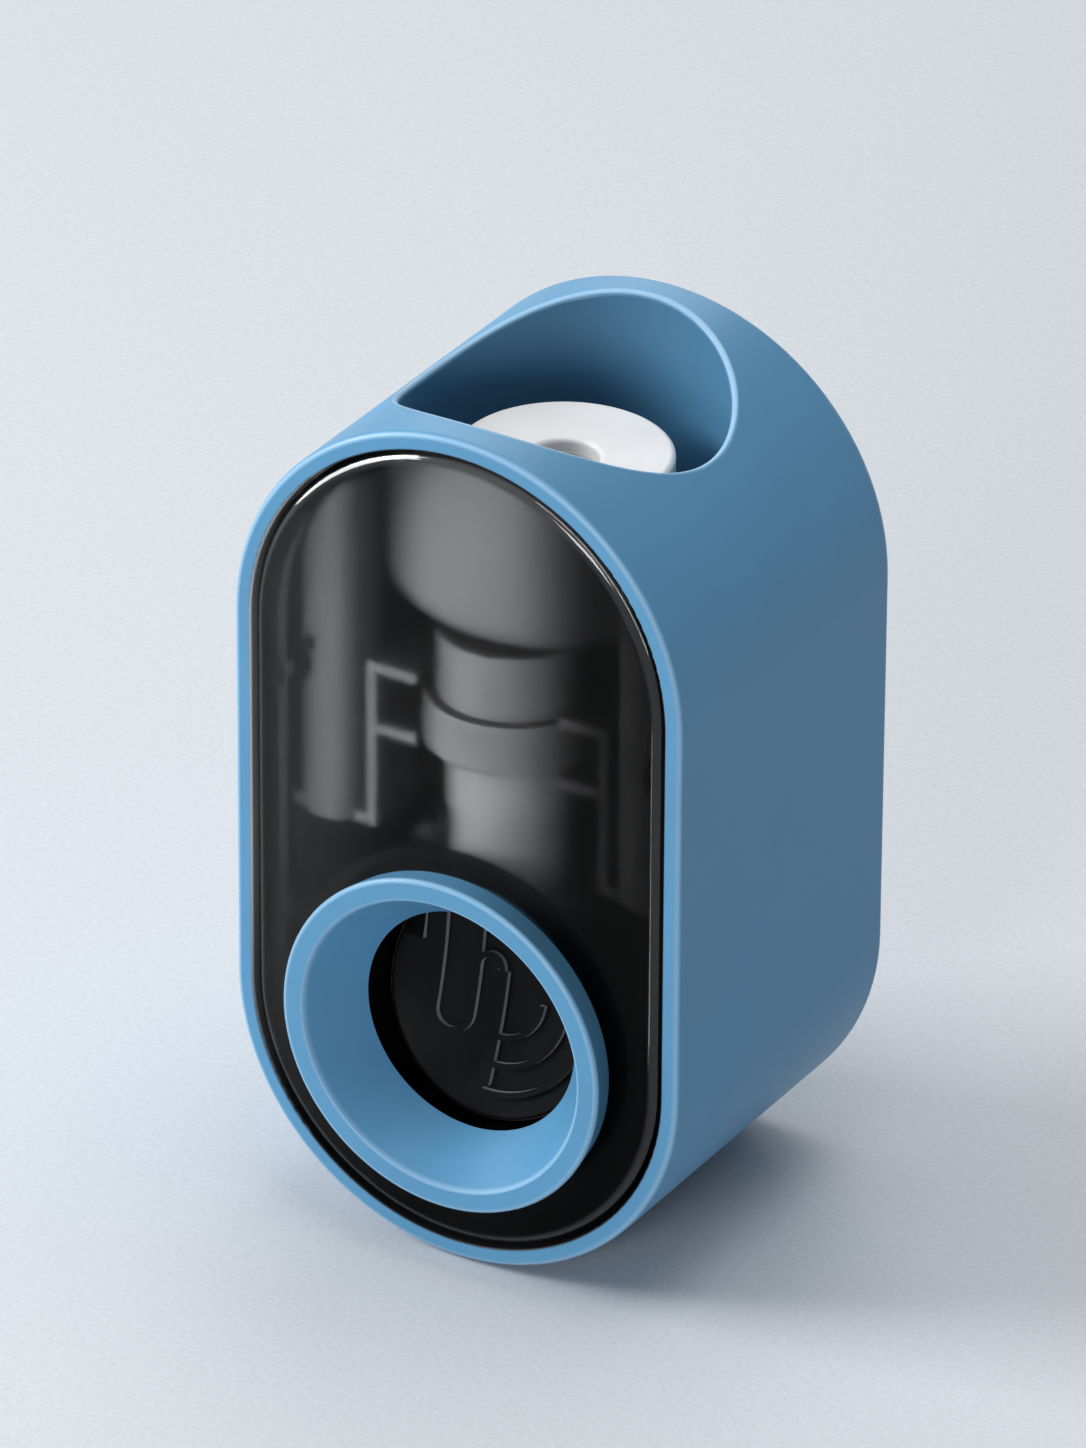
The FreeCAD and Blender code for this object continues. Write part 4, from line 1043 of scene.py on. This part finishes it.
def stood(spot, right, up, back):
    """Place in space of something that faces away from back."""
    return Matrix.Translation(spot) @ Matrix((right, up, back)).transposed().to_4x4()


def softbox(name, direction, distance, width, height, level):
    """Soft lamp in a direction from the middle of the object, at a light level."""
    target = Vector((0.0, 0.0, middle_z))
    spot = target + Vector(direction).normalized() * distance
    lamp = area_lamp(name, width, height, level * (math.pi * distance) ** 2)
    turn = (spot - target).to_track_quat("Z", "Y")
    lamp.matrix_world = Matrix.Translation(spot) @ turn.to_matrix().to_4x4()


def edge_card(name, start, end, width, level):
    """Long card turned to the panel, whose face has a brightness level, with 1 as white."""
    along = Vector(end) - Vector(start)
    middle = (Vector(start) + Vector(end)) / 2
    lamp = area_lamp(name, width, along.length, level * math.pi * width * along.length)
    up = along.normalized()
    right = up.cross(middle - Vector((0.0, front_y, middle_z))).normalized()
    lamp.matrix_world = stood(middle, right, up, right.cross(up))
    return lamp


def on_panel_only(lamps):
    """Let lamps shine on the front panel alone."""
    lit = bpy.data.collections.new("panel_alone")
    lit.objects.link(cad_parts["front_panel"])
    for lamp in lamps:
        lamp.light_linking.receiver_collection = lit


def seen_rays(wiring):
    """1 where the backdrop is seen, straight, in a reflection or through the panel, and 0 where it lights."""
    rays = wiring.node("ShaderNodeLightPath").outputs
    mirrored = wiring.maths("MAXIMUM", rays["Is Glossy Ray"], rays["Is Transmission Ray"])
    return wiring.maths("MAXIMUM", rays["Is Camera Ray"], mirrored)


def lay_floor(settings):
    """Pale speckled floor that turns into the backdrop far from the object."""
    mesh = bpy.data.meshes.new("floor")
    corners = [(-floor_half, -floor_half, 0), (floor_half, -floor_half, 0),
               (floor_half, floor_half, 0), (-floor_half, floor_half, 0)]
    mesh.from_pydata(corners, [], [(0, 1, 2, 3)])
    floor = bpy.data.objects.new("floor", mesh)
    bpy.context.scene.collection.objects.link(floor)
    material, wiring, surface = new_finish("pale_floor")
    speckle = wiring.between(wiring.noise(speckle_scale, detail=3.0), noise_low, noise_high)
    tone = drifting(wiring, speckle, settings.floor_colour, low=0.95, high=1.02)
    wiring.feed(surface.inputs["Base Color"], tone)
    surface.inputs["Roughness"].default_value = 0.85
    surface.inputs["Specular IOR Level"].default_value = 0.1
    pale = wiring.node("ShaderNodeEmission", {0: opaque(settings.backdrop)})
    away = wiring.between(wiring.length(wiring.place()), backdrop_start, backdrop_full)
    far = wiring.times(away, seen_rays(wiring))
    mixed = wiring.node("ShaderNodeMixShader", {0: far, 1: surface.outputs[0], 2: pale.outputs[0]})
    wiring.feed(wiring.tree.nodes["Material Output"].inputs[0], mixed.outputs[0])
    mesh.materials.append(material)


def light_stage(settings):
    """Even light from all round, four soft lamps, and three cards for the panel's border."""
    world = bpy.data.worlds.new("even_light")
    world.use_nodes = True
    bpy.context.scene.world = world
    wiring = Wiring(world.node_tree)
    sky = world.node_tree.nodes["Background"]
    sky.inputs["Color"].default_value = opaque(settings.sky)
    sky.inputs["Strength"].default_value = settings.world_level
    pale = wiring.node("ShaderNodeBackground", {0: opaque(settings.backdrop)})
    mixed = wiring.node("ShaderNodeMixShader", {0: seen_rays(wiring), 1: sky.outputs[0], 2: pale.outputs[0]})
    wiring.feed(world.node_tree.nodes["World Output"].inputs[0], mixed.outputs[0])

    # Name, direction, distance, width, height and level of each lamp
    lamps = (
        ("key", (-0.8, -0.42, 0.43), 1.4, 0.7, 0.5, settings.key_level),
        ("top", (0.05, 0.1, 0.98), 1.2, 0.8, 0.8, settings.top_level),
        ("fill", (0.15, -0.94, 0.27), 1.3, 0.4, 0.3, settings.fill_level),
        ("back", (-0.4, 0.75, 0.5), 1.4, 0.8, 0.8, settings.back_level),
    )
    for lamp in lamps:
        softbox(*lamp)

    # Name, start, end, width and level of each card
    cards = (
        ("glow", (-0.998, -0.047, 0.136), (-0.654, -0.423, 0.719), 1.0, settings.glow_level),
        ("strip", (0.057, -0.645, 0.86), (0.798, -0.629, 0.099), 0.07, settings.strip_level),
        ("card", (0.017, -0.099, 0.002), (-0.007, -0.203, 0.002), 0.018, settings.card_level),
    )
    on_panel_only([edge_card(*card) for card in cards])


def set_camera(settings):
    """Camera at the angle, distance and roll of the settings."""
    back = Vector((
        math.sin(settings.azimuth) * math.cos(settings.elevation),
        -math.cos(settings.azimuth) * math.cos(settings.elevation),
        math.sin(settings.elevation),
    ))
    level = Vector((0.0, 0.0, 1.0)).cross(back).normalized()
    upright = back.cross(level)
    right = level * math.cos(settings.roll) + upright * math.sin(settings.roll)
    up = upright * math.cos(settings.roll) - level * math.sin(settings.roll)
    spot = Vector((0.0, front_y, middle_z)) + back * settings.distance
    lens = bpy.data.cameras.new("camera")
    lens.lens = settings.lens
    lens.clip_end = 20.0
    camera = bpy.data.objects.new("camera", lens)
    bpy.context.scene.collection.objects.link(camera)
    camera.matrix_world = stood(spot + right * settings.aside + up * settings.above, right, up, back)
    bpy.context.scene.camera = camera


class DISPENSER_OT_stage(bpy.types.Operator):
    """Set up the floor, the light and the camera"""

    bl_idname = "dispenser.stage"
    bl_label = "Stage"

    def execute(self, context):
        settings = context.scene.dispenser.stage
        context.scene.view_settings.view_transform = "Standard"
        lay_floor(settings)
        light_stage(settings)
        set_camera(settings)
        return {"FINISHED"}


piece_operators = (
    DISPENSER_OT_case,
    DISPENSER_OT_front,
    DISPENSER_OT_brush_way,
    DISPENSER_OT_pump,
    DISPENSER_OT_bellows,
    DISPENSER_OT_spring,
    DISPENSER_OT_screws,
    DISPENSER_OT_socket,
    DISPENSER_OT_hanger,
    DISPENSER_OT_stage,
)


class DISPENSER_PT_sidebar(bpy.types.Panel):
    """Settings and steps of the dispenser"""

    bl_idname = "DISPENSER_PT_sidebar"
    bl_label = "Paste Dispenser"
    bl_space_type = "VIEW_3D"
    bl_region_type = "UI"
    bl_category = "Dispenser"

    def draw(self, context):
        settings = context.scene.dispenser
        for title in ("case", "front", "pump", "socket", "stage"):
            box = self.layout.box()
            box.label(text=title.title())
            group = getattr(settings, title)
            for name in group.__annotations__:
                box.prop(group, name)
        for operator in piece_operators:
            self.layout.operator(operator.bl_idname)


classes = (
    CaseSettings,
    FrontSettings,
    PumpSettings,
    SocketSettings,
    StageSettings,
    DispenserSettings,
    *piece_operators,
    DISPENSER_PT_sidebar,
)


def register():
    """Register the classes and hang the settings on the scene."""
    for cls in classes:
        bpy.utils.register_class(cls)
    bpy.types.Scene.dispenser = PointerProperty(type=DispenserSettings)


def unregister():
    """Take the settings and the classes away again."""
    del bpy.types.Scene.dispenser
    for cls in reversed(classes):
        bpy.utils.unregister_class(cls)


def main():
    """Dress every piece and set the stage."""
    register()
    bpy.ops.dispenser.case()
    bpy.ops.dispenser.front()
    bpy.ops.dispenser.brush_way()
    bpy.ops.dispenser.pump()
    bpy.ops.dispenser.bellows()
    bpy.ops.dispenser.spring()
    bpy.ops.dispenser.screws()
    bpy.ops.dispenser.socket()
    bpy.ops.dispenser.hanger()
    bpy.ops.dispenser.stage()


if __name__ == "__main__":
    main()
